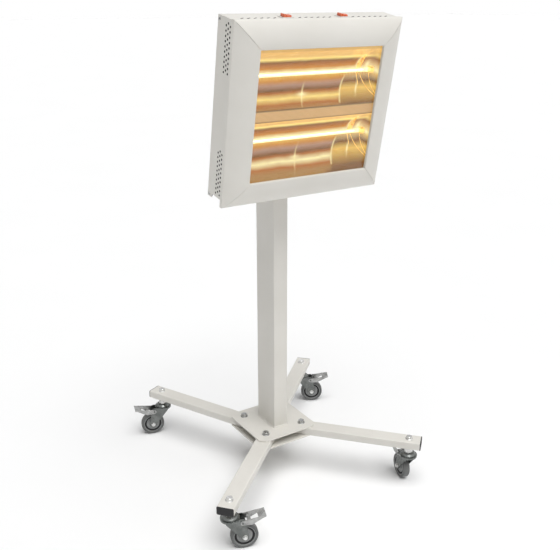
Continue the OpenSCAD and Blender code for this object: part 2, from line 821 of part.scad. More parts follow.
base_plate(plate_top_z);  // base_plate_top
base_plate(plate_low_z);  // base_plate_bottom
column();
column_cap();
tilt_fork();
hub_bolts();
arm_tube(FRONT_LEFT);  // arm_tube_front_left
arm_tube(FRONT_RIGHT);  // arm_tube_front_right
arm_tube(BACK_LEFT);  // arm_tube_back_left
arm_tube(BACK_RIGHT);  // arm_tube_back_right
arm_plug(FRONT_LEFT);  // arm_plug_front_left
arm_plug(FRONT_RIGHT);  // arm_plug_front_right
arm_plug(BACK_LEFT);  // arm_plug_back_left
arm_plug(BACK_RIGHT);  // arm_plug_back_right
caster_stem(FRONT_LEFT);  // caster_stem_front_left
caster_stem(FRONT_RIGHT);  // caster_stem_front_right
caster_stem(BACK_LEFT);  // caster_stem_back_left
caster_stem(BACK_RIGHT);  // caster_stem_back_right
caster_fork(FRONT_LEFT);  // caster_fork_front_left
caster_fork(FRONT_RIGHT);  // caster_fork_front_right
caster_fork(BACK_LEFT);  // caster_fork_back_left
caster_fork(BACK_RIGHT);  // caster_fork_back_right
axle(FRONT_LEFT);  // axle_front_left
axle(FRONT_RIGHT);  // axle_front_right
axle(BACK_LEFT);  // axle_back_left
axle(BACK_RIGHT);  // axle_back_right
wheel_core(FRONT_LEFT);  // wheel_core_front_left
wheel_core(FRONT_RIGHT);  // wheel_core_front_right
wheel_core(BACK_LEFT);  // wheel_core_back_left
wheel_core(BACK_RIGHT);  // wheel_core_back_right
tyre(FRONT_LEFT);  // tyre_front_left
tyre(FRONT_RIGHT);  // tyre_front_right
tyre(BACK_LEFT);  // tyre_back_left
tyre(BACK_RIGHT);  // tyre_back_right
pedal(FRONT_LEFT);  // pedal_front_left
pedal(FRONT_RIGHT);  // pedal_front_right
pedal(BACK_LEFT);  // pedal_back_left
pedal(BACK_RIGHT);  // pedal_back_right
housing_shell();
housing_top();
side_panel(-shell_w / 2);  // side_panel_left
side_panel(panel_x);  // side_panel_right
bezel_top();
bezel_bottom();
bezel_left();
bezel_right();
glass();
reflector_upper();
reflector_lower();
centre_strip();
lamp(lamp_offset);  // lamp_upper
lamp(-lamp_offset);  // lamp_lower
lamp_holders();
cable_gland();
switch_bodies();
rocker_left();
rocker_right();
head_bracket();
tilt_bolt();
housing_screws();
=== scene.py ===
"""Looks of a two-lamp infrared heat lamp on a castered stand, laid over its CAD frame."""
import json
import math
import bmesh
import bpy
import numpy as np
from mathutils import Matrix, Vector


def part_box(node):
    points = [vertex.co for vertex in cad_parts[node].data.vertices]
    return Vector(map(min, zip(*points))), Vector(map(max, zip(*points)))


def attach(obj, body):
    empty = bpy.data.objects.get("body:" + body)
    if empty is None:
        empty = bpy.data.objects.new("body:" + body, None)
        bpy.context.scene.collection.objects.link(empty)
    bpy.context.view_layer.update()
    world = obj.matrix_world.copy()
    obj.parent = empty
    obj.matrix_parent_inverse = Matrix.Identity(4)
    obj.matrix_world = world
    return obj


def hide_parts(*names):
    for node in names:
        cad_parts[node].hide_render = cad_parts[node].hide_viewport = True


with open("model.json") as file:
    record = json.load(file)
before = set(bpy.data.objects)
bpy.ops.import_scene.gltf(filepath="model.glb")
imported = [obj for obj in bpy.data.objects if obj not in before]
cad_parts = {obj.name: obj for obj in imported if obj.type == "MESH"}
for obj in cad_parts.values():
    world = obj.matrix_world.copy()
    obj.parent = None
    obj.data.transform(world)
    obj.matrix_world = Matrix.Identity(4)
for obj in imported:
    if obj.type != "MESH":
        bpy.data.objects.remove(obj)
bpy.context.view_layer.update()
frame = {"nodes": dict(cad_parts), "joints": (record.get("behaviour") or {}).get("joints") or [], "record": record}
nodes = frame["nodes"]
joints = {joint["name"]: joint for joint in frame["joints"]}

CORNERS = ("front_left", "front_right", "back_left", "back_right")
MM = 0.001


# ------------------------------------------------------------------ places

def unit(vector):
    """The vector scaled to length 1."""
    vector = np.asarray(vector, float)
    return vector / np.linalg.norm(vector)


class Place:
    """A local frame: its origin, and its X, Y and Z axes as rows."""

    def __init__(self, origin, x_axis, z_axis):
        z_axis = unit(z_axis)
        y_axis = unit(np.cross(z_axis, x_axis))
        self.axes = np.array([np.cross(y_axis, z_axis), y_axis, z_axis])
        self.origin = np.asarray(origin, float)

    def world(self, points):
        """Local points, in the row frame."""
        return np.asarray(points, float) @ self.axes + self.origin

    def local(self, points):
        """Row-frame points, in this frame."""
        return (np.asarray(points, float) - self.origin) @ self.axes.T

    def moved(self, x=0.0, y=0.0, z=0.0):
        """The same frame with its origin at a local point."""
        return Place(self.world([x, y, z]), self.axes[0], self.axes[2])


def node_points(*names):
    """The vertices of CAD nodes, in the row frame."""
    clouds = []
    for name in names:
        data = nodes[name].data
        points = np.zeros(len(data.vertices) * 3, np.float32)
        data.vertices.foreach_get("co", points)
        clouds.append(points.reshape(-1, 3).astype(float))
    return np.concatenate(clouds)


def local_box(place, *names):
    """Lowest and highest corner of CAD nodes, measured in a local frame."""
    points = place.local(node_points(*names))
    return points.min(0), points.max(0)


def middle(name):
    """The centre of a CAD node's box."""
    low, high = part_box(name)
    return (np.array(low) + np.array(high)) / 2


def head_place():
    """The head's frame: X right, Y into the head, Z up the face, origin at the opening's middle."""
    into = unit(joints["switch_left"]["axis"])
    up = np.cross([1.0, 0.0, 0.0], into)
    rough = Place(middle("glass"), [1.0, 0.0, 0.0], up)
    front = local_box(rough, "bezel_top")[0][1]
    return rough.moved(y=front)


def arm_place(corner):
    """An arm's frame: origin under its pivot bolt on the floor, X along the arm."""
    start = np.array(joints["arm_pivot_" + corner]["pos_m"])
    end = np.array(joints["swivel_" + corner]["pos_m"])
    return Place([start[0], start[1], 0], [end[0] - start[0], end[1] - start[1], 0], [0, 0, 1])


def caster_place(corner):
    """A caster's frame: origin under its stem on the floor, X along its trail."""
    stem = np.array(joints["swivel_" + corner]["pos_m"])
    wheel = np.array(joints["wheel_spin_" + corner]["pos_m"])
    return Place([stem[0], stem[1], 0], [wheel[0] - stem[0], wheel[1] - stem[1], 0], [0, 0, 1])


HEAD = head_place()


# ------------------------------------------------------------------ meshes

def grid_faces(rows, columns, wrap_rows=False, wrap_columns=False):
    """Quads between neighbouring points of a rows x columns grid, as an array of four indices."""
    row = np.arange(rows if wrap_rows else rows - 1)
    column = np.arange(columns if wrap_columns else columns - 1)
    row, column = np.meshgrid(row, column, indexing="ij")
    next_row = (row + 1) % rows
    next_column = (column + 1) % columns
    corners = [row * columns + column, next_row * columns + column,
               next_row * columns + next_column, row * columns + next_column]
    return np.stack(corners, -1).reshape(-1, 4)


def enclosed_volume(points, faces):
    """Signed volume of a closed mesh: the sum of the tetrahedra from the origin to each face."""
    total = 0.0
    for a, b, c in ((0, 1, 2), (0, 2, 3)):
        tri = points[faces[:, [a, b, c]]]
        total += np.einsum("ij,ij->i", tri[:, 0], np.cross(tri[:, 1], tri[:, 2])).sum()
    return total / 6


def closed_loft(sections):
    """Points and faces of a solid through closed loops.

    sections is (rows, columns, 3); each row is one loop. The ends are closed with fans round
    each end loop's middle, and the faces are turned outwards by the sign of the volume.
    """
    rows, columns = sections.shape[:2]
    points = sections.reshape(-1, 3)
    ends = sections[[0, -1]].mean(1)
    points = np.concatenate([points, ends])
    faces = grid_faces(rows, columns, wrap_columns=True)
    edge = np.arange(columns)
    after = (edge + 1) % columns
    first = np.full(columns, rows * columns)
    start = np.stack([first, after, edge, edge], -1)
    last = (rows - 1) * columns
    finish = np.stack([first + 1, last + edge, last + after, last + after], -1)
    faces = np.concatenate([faces, start, finish])
    if enclosed_volume(points, faces) < 0:
        faces = faces[:, ::-1]
    return points, faces


def ring_solid(sections):
    """Points and faces of a ring: closed loops that join back to the first one."""
    rows, columns = sections.shape[:2]
    points = sections.reshape(-1, 3)
    faces = grid_faces(rows, columns, wrap_rows=True, wrap_columns=True)
    if enclosed_volume(points, faces) < 0:
        faces = faces[:, ::-1]
    return points, faces


def rim_of(rows, columns):
    """Indices round the edge of a rows x columns grid, in order."""
    top = np.arange(columns)
    right = np.arange(1, rows) * columns + columns - 1
    bottom = (rows - 1) * columns + np.arange(columns - 2, -1, -1)
    left = np.arange(rows - 2, 0, -1) * columns
    return np.concatenate([top, right, bottom, left])


def sheet_solid(front, back):
    """Points and faces of a sheet: two grids of the same size, closed round their edge."""
    rows, columns = front.shape[:2]
    count = rows * columns
    points = np.concatenate([front.reshape(-1, 3), back.reshape(-1, 3)])
    faces = grid_faces(rows, columns)
    rim = rim_of(rows, columns)
    after = np.roll(rim, -1)
    sides = np.stack([rim, rim + count, after + count, after], -1)
    faces = np.concatenate([faces, faces[:, ::-1] + count, sides])
    if enclosed_volume(points, faces) < 0:
        faces = faces[:, ::-1]
    return points, faces


def joined(parts):
    """Several (points, faces) pairs as one."""
    points = np.concatenate([part[0] for part in parts])
    offsets = np.cumsum([0] + [len(part[0]) for part in parts[:-1]])
    faces = np.concatenate([part[1] + offset for part, offset in zip(parts, offsets)])
    return points, faces


def add_piece(name, shape, body, material, replaced=(), sharp=32.0):
    """A mesh object from points and faces, smooth but for edges sharper than an angle."""
    points, faces = shape
    lists = [list(dict.fromkeys(face)) for face in faces.tolist()]
    mesh = bpy.data.meshes.new(name)
    mesh.from_pydata(points.tolist(), [], [face for face in lists if len(face) > 2])
    mesh.shade_smooth()
    mesh.set_sharp_from_angle(angle=math.radians(sharp))
    mesh.materials.append(material)
    item = bpy.data.objects.new(name, mesh)
    bpy.context.scene.collection.objects.link(item)
    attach(item, body)
    if replaced:
        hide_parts(*replaced)
    return item


WALLS = {"side_panel_left": 4 * MM * MM, "side_panel_right": 4 * MM * MM,
         "housing_top": 30 * MM * MM}   # largest facet inside a sheet's openings


def softened(name, width, body, material):
    """A CAD piece with its edges rounded: a merged copy of its mesh under a bevel.

    Facets smaller than the size in WALLS are inside perforations or vents, and take the second
    material, a dull black that paints the shade inside these openings.
    """
    source = nodes[name].data
    corners = np.zeros(len(source.loops), np.int32)
    source.loops.foreach_get("vertex_index", corners)
    mesh = bpy.data.meshes.new(name + "_softened")
    mesh.from_pydata(node_points(name).tolist(), [], corners.reshape(-1, 3).tolist())
    work = bmesh.new()
    work.from_mesh(mesh)
    bmesh.ops.remove_doubles(work, verts=work.verts, dist=1e-5)
    bmesh.ops.dissolve_limit(work, angle_limit=math.radians(1), verts=work.verts,
                             edges=work.edges)
    work.to_mesh(mesh)
    work.free()
    mesh.shade_smooth()
    mesh.materials.append(material)
    # painted shade: the walls of the openings are made black
    if name in WALLS:
        mesh.materials.append(PAINTED_SHADE_BLACK)
        area = np.zeros(len(mesh.polygons))
        mesh.polygons.foreach_get("area", area)
        small = (area < WALLS[name]).astype(np.int32)
        mesh.polygons.foreach_set("material_index", small)
    item = bpy.data.objects.new(name + "_softened", mesh)
    bevel = item.modifiers.new("edge", "BEVEL")
    bevel.width = width
    bevel.segments = 2
    bevel.limit_method = "ANGLE"
    bevel.angle_limit = math.radians(32)
    bevel.harden_normals = True
    bpy.context.scene.collection.objects.link(item)
    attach(item, body)
    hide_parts(name)
    return item


def set_values(item, name, values):
    """Stores one number a vertex as a named attribute."""
    item.data.attributes.new(name, "FLOAT", "POINT").data.foreach_set("value", values)


def circle(count, start=0.0):
    """Angles of count equal steps round a circle."""
    return start + np.arange(count) * 2 * math.pi / count


def turned(place, outline, count=48, wobble=None):
    """A solid of revolution about the place's Z.

    outline is a list of (radius, height), from the foot on the axis to the top on the axis;
    wobble, if given, is a factor on the radius at each angle, such as a hexagon's.
    """
    outline = np.array(outline, float)
    angle = circle(count)
    factor = np.ones(count) if wobble is None else wobble(angle)
    radius = outline[:, :1] * factor
    height = np.repeat(outline[:, 1:], count, 1)
    loops = np.stack([radius * np.cos(angle), radius * np.sin(angle), height], -1)
    points, faces = closed_loft(loops)
    return place.world(points), faces


def hollow_turned(place, loop, count=64):
    """A ring about the place's Z: a closed loop of (radius, height) carried round it."""
    loop = np.array(loop, float)
    angle = circle(count)[:, None]
    radius = loop[None, :, 0]
    height = np.repeat(loop[None, :, 1], count, 0)
    loops = np.stack([radius * np.cos(angle), radius * np.sin(angle), height], -1)
    points, faces = ring_solid(loops)
    return place.world(points), faces


def tube(path, radius, sides=10):
    """A round tube along a path: circles square to it, kept from twisting by one fixed side."""
    path = np.asarray(path, float)
    along = np.gradient(path, axis=0)
    along /= np.linalg.norm(along, axis=1, keepdims=True)
    side = np.cross(along, unit([0.31, 0.47, 0.83]))
    side /= np.linalg.norm(side, axis=1, keepdims=True)
    other = np.cross(along, side)
    angle = circle(sides)[None, :, None]
    ring = side[:, None] * np.cos(angle) + other[:, None] * np.sin(angle)
    return closed_loft(path[:, None] + radius * ring)


def hex_head(place, across, height):
    """A hexagon head standing on the place's Z = 0.

    Each row is a hexagon, distance to a side over the cosine of the angle from its middle,
    cut off where it passes that row's limit, so the top edge is chamfered round.
    """
    count = 72
    angle = circle(count)
    turn = (angle + math.pi / 6) % (math.pi / 3) - math.pi / 6
    side = across / 2 / np.cos(turn)
    limits = across / 2 * np.array([0.0, 1.02, 1.13, 1.13, 1.07, 0.98, 0.90, 0.0])[:, None]
    rise = height * np.array([0.0, 0.0, 0.06, 0.78, 0.92, 1.0, 1.0, 0.985])[:, None]
    radius = np.minimum(side[None, :], limits)
    loops = np.stack([radius * np.cos(angle), radius * np.sin(angle),
                      np.repeat(rise, count, 1)], -1)
    points, faces = closed_loft(loops)
    return place.world(points), faces


def rounded_rectangle(width, height, radius, steps=6):
    """Points round a rectangle in (x, y), its corners quarter circles."""
    bend = np.linspace(0, math.pi / 2, steps)
    corner = radius * np.stack([np.cos(bend), np.sin(bend)], -1)
    middle_x, middle_y = width / 2 - radius, height / 2 - radius
    quarters = []
    for turn, (x, y) in enumerate(((1, 1), (-1, 1), (-1, -1), (1, -1))):
        c, s = math.cos(turn * math.pi / 2), math.sin(turn * math.pi / 2)
        quarters.append(corner @ np.array([[c, s], [-s, c]]) + [x * middle_x, y * middle_y])
    return np.concatenate(quarters)


def slab(place, sizes, steps=6):
    """A solid of rounded rectangles along the place's Z; sizes are (width, height, radius, z)."""
    loops = []
    for width, height, radius, z in sizes:
        outline = rounded_rectangle(width, height, radius, steps)
        loops.append(np.concatenate([outline, np.full((len(outline), 1), z)], 1))
    points, faces = closed_loft(np.array(loops))
    return place.world(points), faces


# ------------------------------------------------------------------ shader groups

def new_group(name, inputs, outputs):
    """An empty shader group with named number inputs and named outputs."""
    tree = bpy.data.node_groups.new(name, "ShaderNodeTree")
    for label, value in inputs:
        socket = tree.interface.new_socket(label, in_out="INPUT", socket_type="NodeSocketFloat")
        socket.default_value = value
    for label, kind in outputs:
        tree.interface.new_socket(label, in_out="OUTPUT", socket_type=kind)
    return tree, tree.nodes.new("NodeGroupInput"), tree.nodes.new("NodeGroupOutput")


def noise_node(tree, scale_from, detail, stretch=(1.0, 1.0, 1.0)):
    """Noise on Object coordinates; scale_from is a socket or a number."""
    place = tree.nodes.new("ShaderNodeTexCoord")
    spread = tree.nodes.new("ShaderNodeMapping")
    spread.inputs["Scale"].default_value = stretch
    noise = tree.nodes.new("ShaderNodeTexNoise")
    noise.inputs["Detail"].default_value = detail
    tree.links.new(place.outputs["Object"], spread.inputs["Vector"])
    tree.links.new(spread.outputs["Vector"], noise.inputs["Vector"])
    if isinstance(scale_from, (int, float)):
        noise.inputs["Scale"].default_value = scale_from
    else:
        tree.links.new(scale_from, noise.inputs["Scale"])
    return noise.outputs["Fac"]


def ranged(tree, value, low, high, to_low, to_high):
    """Value taken from one range to another, held at the ends; any end may be a socket."""
    node = tree.nodes.new("ShaderNodeMapRange")
    ends = (("Value", value), ("From Min", low), ("From Max", high),
            ("To Min", to_low), ("To Max", to_high))
    for label, end in ends:
        if isinstance(end, (int, float)):
            node.inputs[label].default_value = end
        else:
            tree.links.new(end, node.inputs[label])
    return node.outputs["Result"]


def times(tree, first, second):
    """Product of two values."""
    node = tree.nodes.new("ShaderNodeMath")
    node.operation = "MULTIPLY"
    tree.links.new(first, node.inputs[0])
    tree.links.new(second, node.inputs[1])
    return node.outputs[0]


def uneven_group():
    """Slow drift from -1 to 1 times Amount, for tone and roughness."""
    tree, given, made = new_group("uneven", (("Scale", 6.0), ("Amount", 1.0)),
                                  (("Drift", "NodeSocketFloat"),))
    noise = noise_node(tree, given.outputs["Scale"], 3.0)
    less = tree.nodes.new("ShaderNodeMath")
    less.operation = "MULTIPLY"
    less.inputs[1].default_value = -1.0
    tree.links.new(given.outputs["Amount"], less.inputs[0])
    drift = ranged(tree, noise, 0.3, 0.7, less.outputs[0], given.outputs["Amount"])
    tree.links.new(drift, made.inputs["Drift"])
    return tree


def grain_group():
    """Fine surface height from 0 to 1: noise with two finer octaves."""
    tree, given, made = new_group("grain", (("Scale", 900.0),), (("Height", "NodeSocketFloat"),))
    fine = noise_node(tree, given.outputs["Scale"], 2.0)
    tree.links.new(fine, made.inputs["Height"])
    return tree


def dust_group():
    """Mask of dust: more on faces that look up and near the floor, broken by noise."""
    tree, given, made = new_group("dust", (("Amount", 0.3), ("Reach", 0.25)),
                                  (("Mask", "NodeSocketFloat"),))
    shape = tree.nodes.new("ShaderNodeNewGeometry")
    split = tree.nodes.new("ShaderNodeSeparateXYZ")
    tree.links.new(shape.outputs["Normal"], split.inputs["Vector"])
    facing = ranged(tree, split.outputs["Z"], 0.2, 1.0, 0.25, 1.0)
    spot = tree.nodes.new("ShaderNodeTexCoord")
    height = tree.nodes.new("ShaderNodeSeparateXYZ")
    tree.links.new(spot.outputs["Object"], height.inputs["Vector"])
    low = ranged(tree, height.outputs["Z"], 0.0, given.outputs["Reach"], 1.0, 0.0)
    patches = ranged(tree, noise_node(tree, 60.0, 5.0), 0.35, 0.7, 0.2, 1.0)
    product = patches
    for factor in (facing, low, given.outputs["Amount"]):
        product = times(tree, product, factor)
    tree.links.new(product, made.inputs["Mask"])
    return tree


UNEVEN = uneven_group()
GRAIN = grain_group()
DUST = dust_group()


# ------------------------------------------------------------------ materials

def use(tree, group, **values):
    """Places a shader group in a material, with its own values."""
    node = tree.nodes.new("ShaderNodeGroup")
    node.node_tree = group
    for label, value in values.items():
        node.inputs[label].default_value = value
    return node


def start_material(name, **shader_values):
    """A material with its Principled shader's plain values set."""
    material = bpy.data.materials.new(name)
    material.use_nodes = True
    tree = material.node_tree
    shader = tree.nodes["Principled BSDF"]
    for label, value in shader_values.items():
        shader.inputs[label.replace("_", " ")].default_value = value
    return material, tree, shader


def mix_colours(tree, factor, first, second):
    """A colour between two, by a factor; each may be a socket or a colour."""
    node = tree.nodes.new("ShaderNodeMix")
    node.data_type = "RGBA"
    tree.links.new(factor, node.inputs["Factor"])
    for label, colour in (("A", first), ("B", second)):
        socket = next(s for s in node.inputs if s.name == label and s.type == "RGBA")
        if isinstance(colour, tuple):
            socket.default_value = (*colour, 1.0)
        else:
            tree.links.new(colour, socket)
    return next(s for s in node.outputs if s.type == "RGBA")


def bumped(tree, shader, height, strength, distance):
    """Feeds a height through a Bump node to the shader's Normal."""
    bump = tree.nodes.new("ShaderNodeBump")
    bump.inputs["Strength"].default_value = strength
    bump.inputs["Distance"].default_value = distance
    tree.links.new(height, bump.inputs["Height"])
    tree.links.new(bump.outputs["Normal"], shader.inputs["Normal"])


def coated(name, light, dark, rough, grain_scale, grain_strength, dusty=0.0):
    """A paint or moulded finish: drifting tone and gloss, fine grain, and dust near the floor."""
    material, tree, shader = start_material(name)
    drift = use(tree, UNEVEN, Scale=7.0, Amount=1.0).outputs["Drift"]
    tone = mix_colours(tree, ranged(tree, drift, -1.0, 1.0, 0.0, 1.0), dark, light)
    if dusty:
        mask = use(tree, DUST, Amount=dusty, Reach=0.22).outputs["Mask"]
        tone = mix_colours(tree, mask, tone, (0.42, 0.39, 0.35))
    tree.links.new(tone, shader.inputs["Base Color"])
    gloss = ranged(tree, drift, -1.0, 1.0, rough - 0.05, rough + 0.05)
    tree.links.new(gloss, shader.inputs["Roughness"])
    grain = use(tree, GRAIN, Scale=grain_scale).outputs["Height"]
    bumped(tree, shader, grain, grain_strength, 0.0002)
    return material


def zinc_finish(name, light, dark):
    """Zinc plate: metal with cloudy tone, dust near the floor and fine scuffs."""
    material, tree, shader = start_material(name, Metallic=1.0)
    drift = use(tree, UNEVEN, Scale=45.0, Amount=1.0).outputs["Drift"]
    factor = ranged(tree, drift, -1.0, 1.0, 0.0, 1.0)
    tone = mix_colours(tree, factor, dark, light)
    mask = use(tree, DUST, Amount=0.5, Reach=0.15).outputs["Mask"]
    tree.links.new(mix_colours(tree, mask, tone, (0.24, 0.22, 0.19)), shader.inputs["Base Color"])
    tree.links.new(ranged(tree, drift, -1.0, 1.0, 0.20, 0.36), shader.inputs["Roughness"])
    scuff = noise_node(tree, 300.0, 4.0, (1.0, 6.0, 1.0))
    bumped(tree, shader, scuff, 0.12, 0.0002)
    return material


def pane_finish():
    """Clear heat-resistant glass with a breath of haze."""
    material, tree, shader = start_material(
        "pane_glass", Transmission_Weight=1.0, IOR=1.47, Metallic=0.0)
    shader.inputs["Base Color"].default_value = (1.0, 0.985, 0.95, 1.0)
    haze = use(tree, UNEVEN, Scale=9.0, Amount=1.0).outputs["Drift"]
    tree.links.new(ranged(tree, haze, -1.0, 1.0, 0.0, 0.02), shader.inputs["Roughness"])
    return material


def ramp_node(tree, value, stops):
    """A colour ramp over a value from 0 to 1; stops are (place, colour)."""
    node = tree.nodes.new("ShaderNodeValToRGB")
    bands = node.color_ramp
    while len(bands.elements) < len(stops):
        bands.elements.new(0.5)
    for element, (spot, colour) in zip(bands.elements, stops):
        element.position = spot
        element.color = (*colour, 1.0)
    tree.links.new(value, node.inputs["Fac"])
    return node.outputs["Color"]


# Colours of the painted glow in the troughs: the lamp's light and its reflections, painted as emission.
UMBER = (0.15, 0.065, 0.012)
AMBER = (0.40, 0.125, 0.008)
ORANGE = (0.58, 0.24, 0.025)
BRONZE = (0.36, 0.20, 0.055)
TAN = (0.68, 0.42, 0.12)
GOLD = (0.85, 0.56, 0.12)
PALE = (0.97, 0.76, 0.24)
GLARE = (1.0, 0.93, 0.50)
MAUVE = (0.40, 0.25, 0.19)


def trough_bands(low_image):
    """Painted glow across a trough: height above the lamp, in mm, and colour.

    The lamp is at 0, and each wall of the trough mirrors it once, below and above; these are painted
    reflections. low_image is the colour of its painted image in the lower wall.
    """
    return ((-73, BRONZE), (-65, AMBER), (-55, low_image), (-45, AMBER), (-40, UMBER),
            (-30, MAUVE), (-20, ORANGE), (-10, GOLD), (0, GLARE), (10, ORANGE), (20, AMBER),
            (30, UMBER), (40, PALE), (50, TAN), (73, TAN))


# the same painted glow for the end pieces, which the lamps reach past
END_BANDS = ((-73, UMBER), (-45, GOLD), (-30, UMBER), (0, GLARE), (30, AMBER), (50, TAN),
             (73, GOLD))
TROUGH_SPAN = 73.0      # mm from the lamp to a trough's rim, where the bands end
BAND_SHARE = 0.8        # share of the ramp that the trough takes; the flange has the rest


def band_spot(height):
    """Place on a ramp from 0 to 1 of a height above the lamp, in mm."""
    return 0.5 + BAND_SHARE / 2 * height / TROUGH_SPAN


def attribute_node(tree, name):
    """The value of a piece's own attribute."""
    node = tree.nodes.new("ShaderNodeAttribute")
    node.attribute_name = name
    return node.outputs["Fac"]


def bands(tree, value, stops):
    """The glow across a trough as a colour ramp."""
    return ramp_node(tree, value, [(band_spot(height), colour) for height, colour in stops])


def reflector_with_painted_glow(name, stops):
    """Gold-tone sheet, with its lamp's light and reflections painted on as emission.

    Its painted glow runs in bands across the trough, changes towards the ends, is crossed by thin
    darker painted lines under the lamp, and has a painted highlight where the end piece begins.
    """
    material, tree, shader = start_material(name, Metallic=1.0, Emission_Strength=1.0)
    across = attribute_node(tree, "across")
    wave = ranged(tree, noise_node(tree, 16.0, 2.0, (1.0, 0.3, 0.3)), 0.3, 0.7, -0.006, 0.006)
    moved = tree.nodes.new("ShaderNodeMath")
    moved.operation = "ADD"
    tree.links.new(across, moved.inputs[0])
    tree.links.new(wave, moved.inputs[1])
    long_bands = bands(tree, moved.outputs[0], stops)
    end_bands = bands(tree, moved.outputs[0], END_BANDS)
    glow = mix_colours(tree, attribute_node(tree, "end"), long_bands, end_bands)
    glow = mix_colours(tree, attribute_node(tree, "painted_dark_lines"), glow, ORANGE)
    glow = mix_colours(tree, attribute_node(tree, "glint"), glow, GLARE)
    mottle = ranged(tree, noise_node(tree, 55.0, 3.0, (0.6, 1.5, 1.5)), 0.35, 0.7, 0.0, 0.22)
    glow = mix_colours(tree, mottle, glow, AMBER)
    # the painted glow goes on the sheet's front only
    lit_side = mix_colours(tree, attribute_node(tree, "lit"), (0.0, 0.0, 0.0), glow)
    tree.links.new(lit_side, shader.inputs["Emission Color"])
    tint = mix_colours(tree, noise_node(tree, 30.0, 3.0), (0.045, 0.022, 0.005),
                       (0.07, 0.038, 0.010))
    tree.links.new(tint, shader.inputs["Base Color"])
    rolling = noise_node(tree, 500.0, 2.0, (0.05, 1.0, 1.0))
    tree.links.new(ranged(tree, rolling, 0.3, 0.7, 0.16, 0.30), shader.inputs["Roughness"])
    bumped(tree, shader, rolling, 0.10, 0.0002)
    return material


def strip_with_painted_glow():
    """Tan strip between the troughs, lamp light painted on as emission; woven relief with a painted highlight on
    the weave and painted shade at the top edge.
    """
    material, tree, shader = start_material("centre_strip_gold_painted_glow", Metallic=0.6,
                                            Emission_Strength=1.0)
    tone = ranged(tree, noise_node(tree, 22.0, 3.0, (0.4, 1.0, 1.0)), 0.3, 0.7, 0.0, 1.0)
    glow = mix_colours(tree, tone, (0.22, 0.105, 0.03), (0.34, 0.18, 0.06))
    # painted highlight on the raised weave; the edge mix below is painted shade along the top edge
    weave = attribute_node(tree, "relief")
    glow = mix_colours(tree, weave, glow, (0.74, 0.48, 0.22))
    glow = mix_colours(tree, attribute_node(tree, "edge"), glow, (0.14, 0.075, 0.02))
    lit_side = mix_colours(tree, attribute_node(tree, "lit"), (0.0, 0.0, 0.0), glow)
    tree.links.new(lit_side, shader.inputs["Emission Color"])
    metal = mix_colours(tree, weave, (0.10, 0.06, 0.02), (0.22, 0.14, 0.06))
    tree.links.new(metal, shader.inputs["Base Color"])
    tree.links.new(ranged(tree, weave, 0.0, 1.0, 0.45, 0.30), shader.inputs["Roughness"])
    return material


def quartz_finish():
    """Hot quartz tube: clear, and glowing with its filament's light."""
    material, tree, shader = start_material(
        "hot_quartz", Transmission_Weight=1.0, IOR=1.3, Emission_Strength=0.45, Metallic=0.0)
    factor = ranged(tree, noise_node(tree, 70.0, 2.0, (1.0, 0.2, 0.2)), 0.3, 0.7, 0.0, 1.0)
    glow = mix_colours(tree, factor, (0.95, 0.84, 0.45), (1.0, 0.96, 0.66))
    tree.links.new(glow, shader.inputs["Emission Color"])
    tree.links.new(ranged(tree, factor, 0.0, 1.0, 0.02, 0.08), shader.inputs["Roughness"])
    return material


def brass_with_painted_glow():
    """Gold tone of the holders, support plates and leads beside the lamps, with the lamps' light painted on as
    emission.
    """
    material, tree, shader = start_material("brass_lamp_glow_painted", Metallic=1.0, Emission_Strength=1.0)
    factor = ranged(tree, noise_node(tree, 90.0, 3.0), 0.3, 0.7, 0.0, 1.0)
    tree.links.new(mix_colours(tree, factor, (0.75, 0.50, 0.14), (0.95, 0.72, 0.30)),
                   shader.inputs["Base Color"])
    tree.links.new(mix_colours(tree, factor, (0.42, 0.20, 0.03), (0.78, 0.55, 0.16)),
                   shader.inputs["Emission Color"])
    tree.links.new(ranged(tree, factor, 0.0, 1.0, 0.2, 0.4), shader.inputs["Roughness"])
    return material


def rocker_finish():
    """Red rocker, lit from inside while the lamps are on."""
    material, tree, shader = start_material("lit_rocker", Emission_Strength=1.0, Coat_Weight=0.4)
    factor = ranged(tree, noise_node(tree, 160.0, 2.0), 0.3, 0.7, 0.0, 1.0)
    tree.links.new(mix_colours(tree, factor, (0.62, 0.10, 0.035), (0.72, 0.16, 0.06)),
                   shader.inputs["Base Color"])
    tree.links.new(mix_colours(tree, factor, (0.08, 0.012, 0.004), (0.16, 0.03, 0.01)),
                   shader.inputs["Emission Color"])
    tree.links.new(ranged(tree, factor, 0.0, 1.0, 0.22, 0.34), shader.inputs["Roughness"])
    return material


def lit(name, colour, strength, variation):
    """A glowing surface whose brightness drifts a little along it."""
    material, tree, shader = start_material(name, Emission_Strength=strength, Roughness=0.2)
    factor = ranged(tree, noise_node(tree, 40.0, 2.0), 0.3, 0.7, 0.0, 1.0)
    glow = mix_colours(tree, factor, tuple(c * (1 - variation) for c in colour), colour)
    tree.links.new(glow, shader.inputs["Emission Color"])
    tree.links.new(glow, shader.inputs["Base Color"])
    return material


HEAD_PAINT = coated("head_powder_coat", (0.72, 0.70, 0.655), (0.68, 0.66, 0.61), 0.42, 1400.0, 0.10)
STAND_PAINT = coated("stand_powder_coat", (0.71, 0.69, 0.645), (0.67, 0.65, 0.60), 0.45, 1400.0,
                     0.12, dusty=0.2)
BLACK = coated("black_plastic", (0.012, 0.012, 0.013), (0.006, 0.006, 0.007), 0.62, 2200.0, 0.25)
TYRE = coated("grey_tyre", (0.135, 0.14, 0.14), (0.085, 0.09, 0.09), 0.62, 1500.0, 0.40, dusty=0.4)
WHEEL = coated("wheel_plastic", (0.30, 0.31, 0.31), (0.24, 0.245, 0.245), 0.45, 2200.0, 0.20,
               dusty=0.3)
HOLDER = coated("ceramic_holder", (0.86, 0.74, 0.50), (0.74, 0.58, 0.34), 0.55, 1200.0, 0.20)
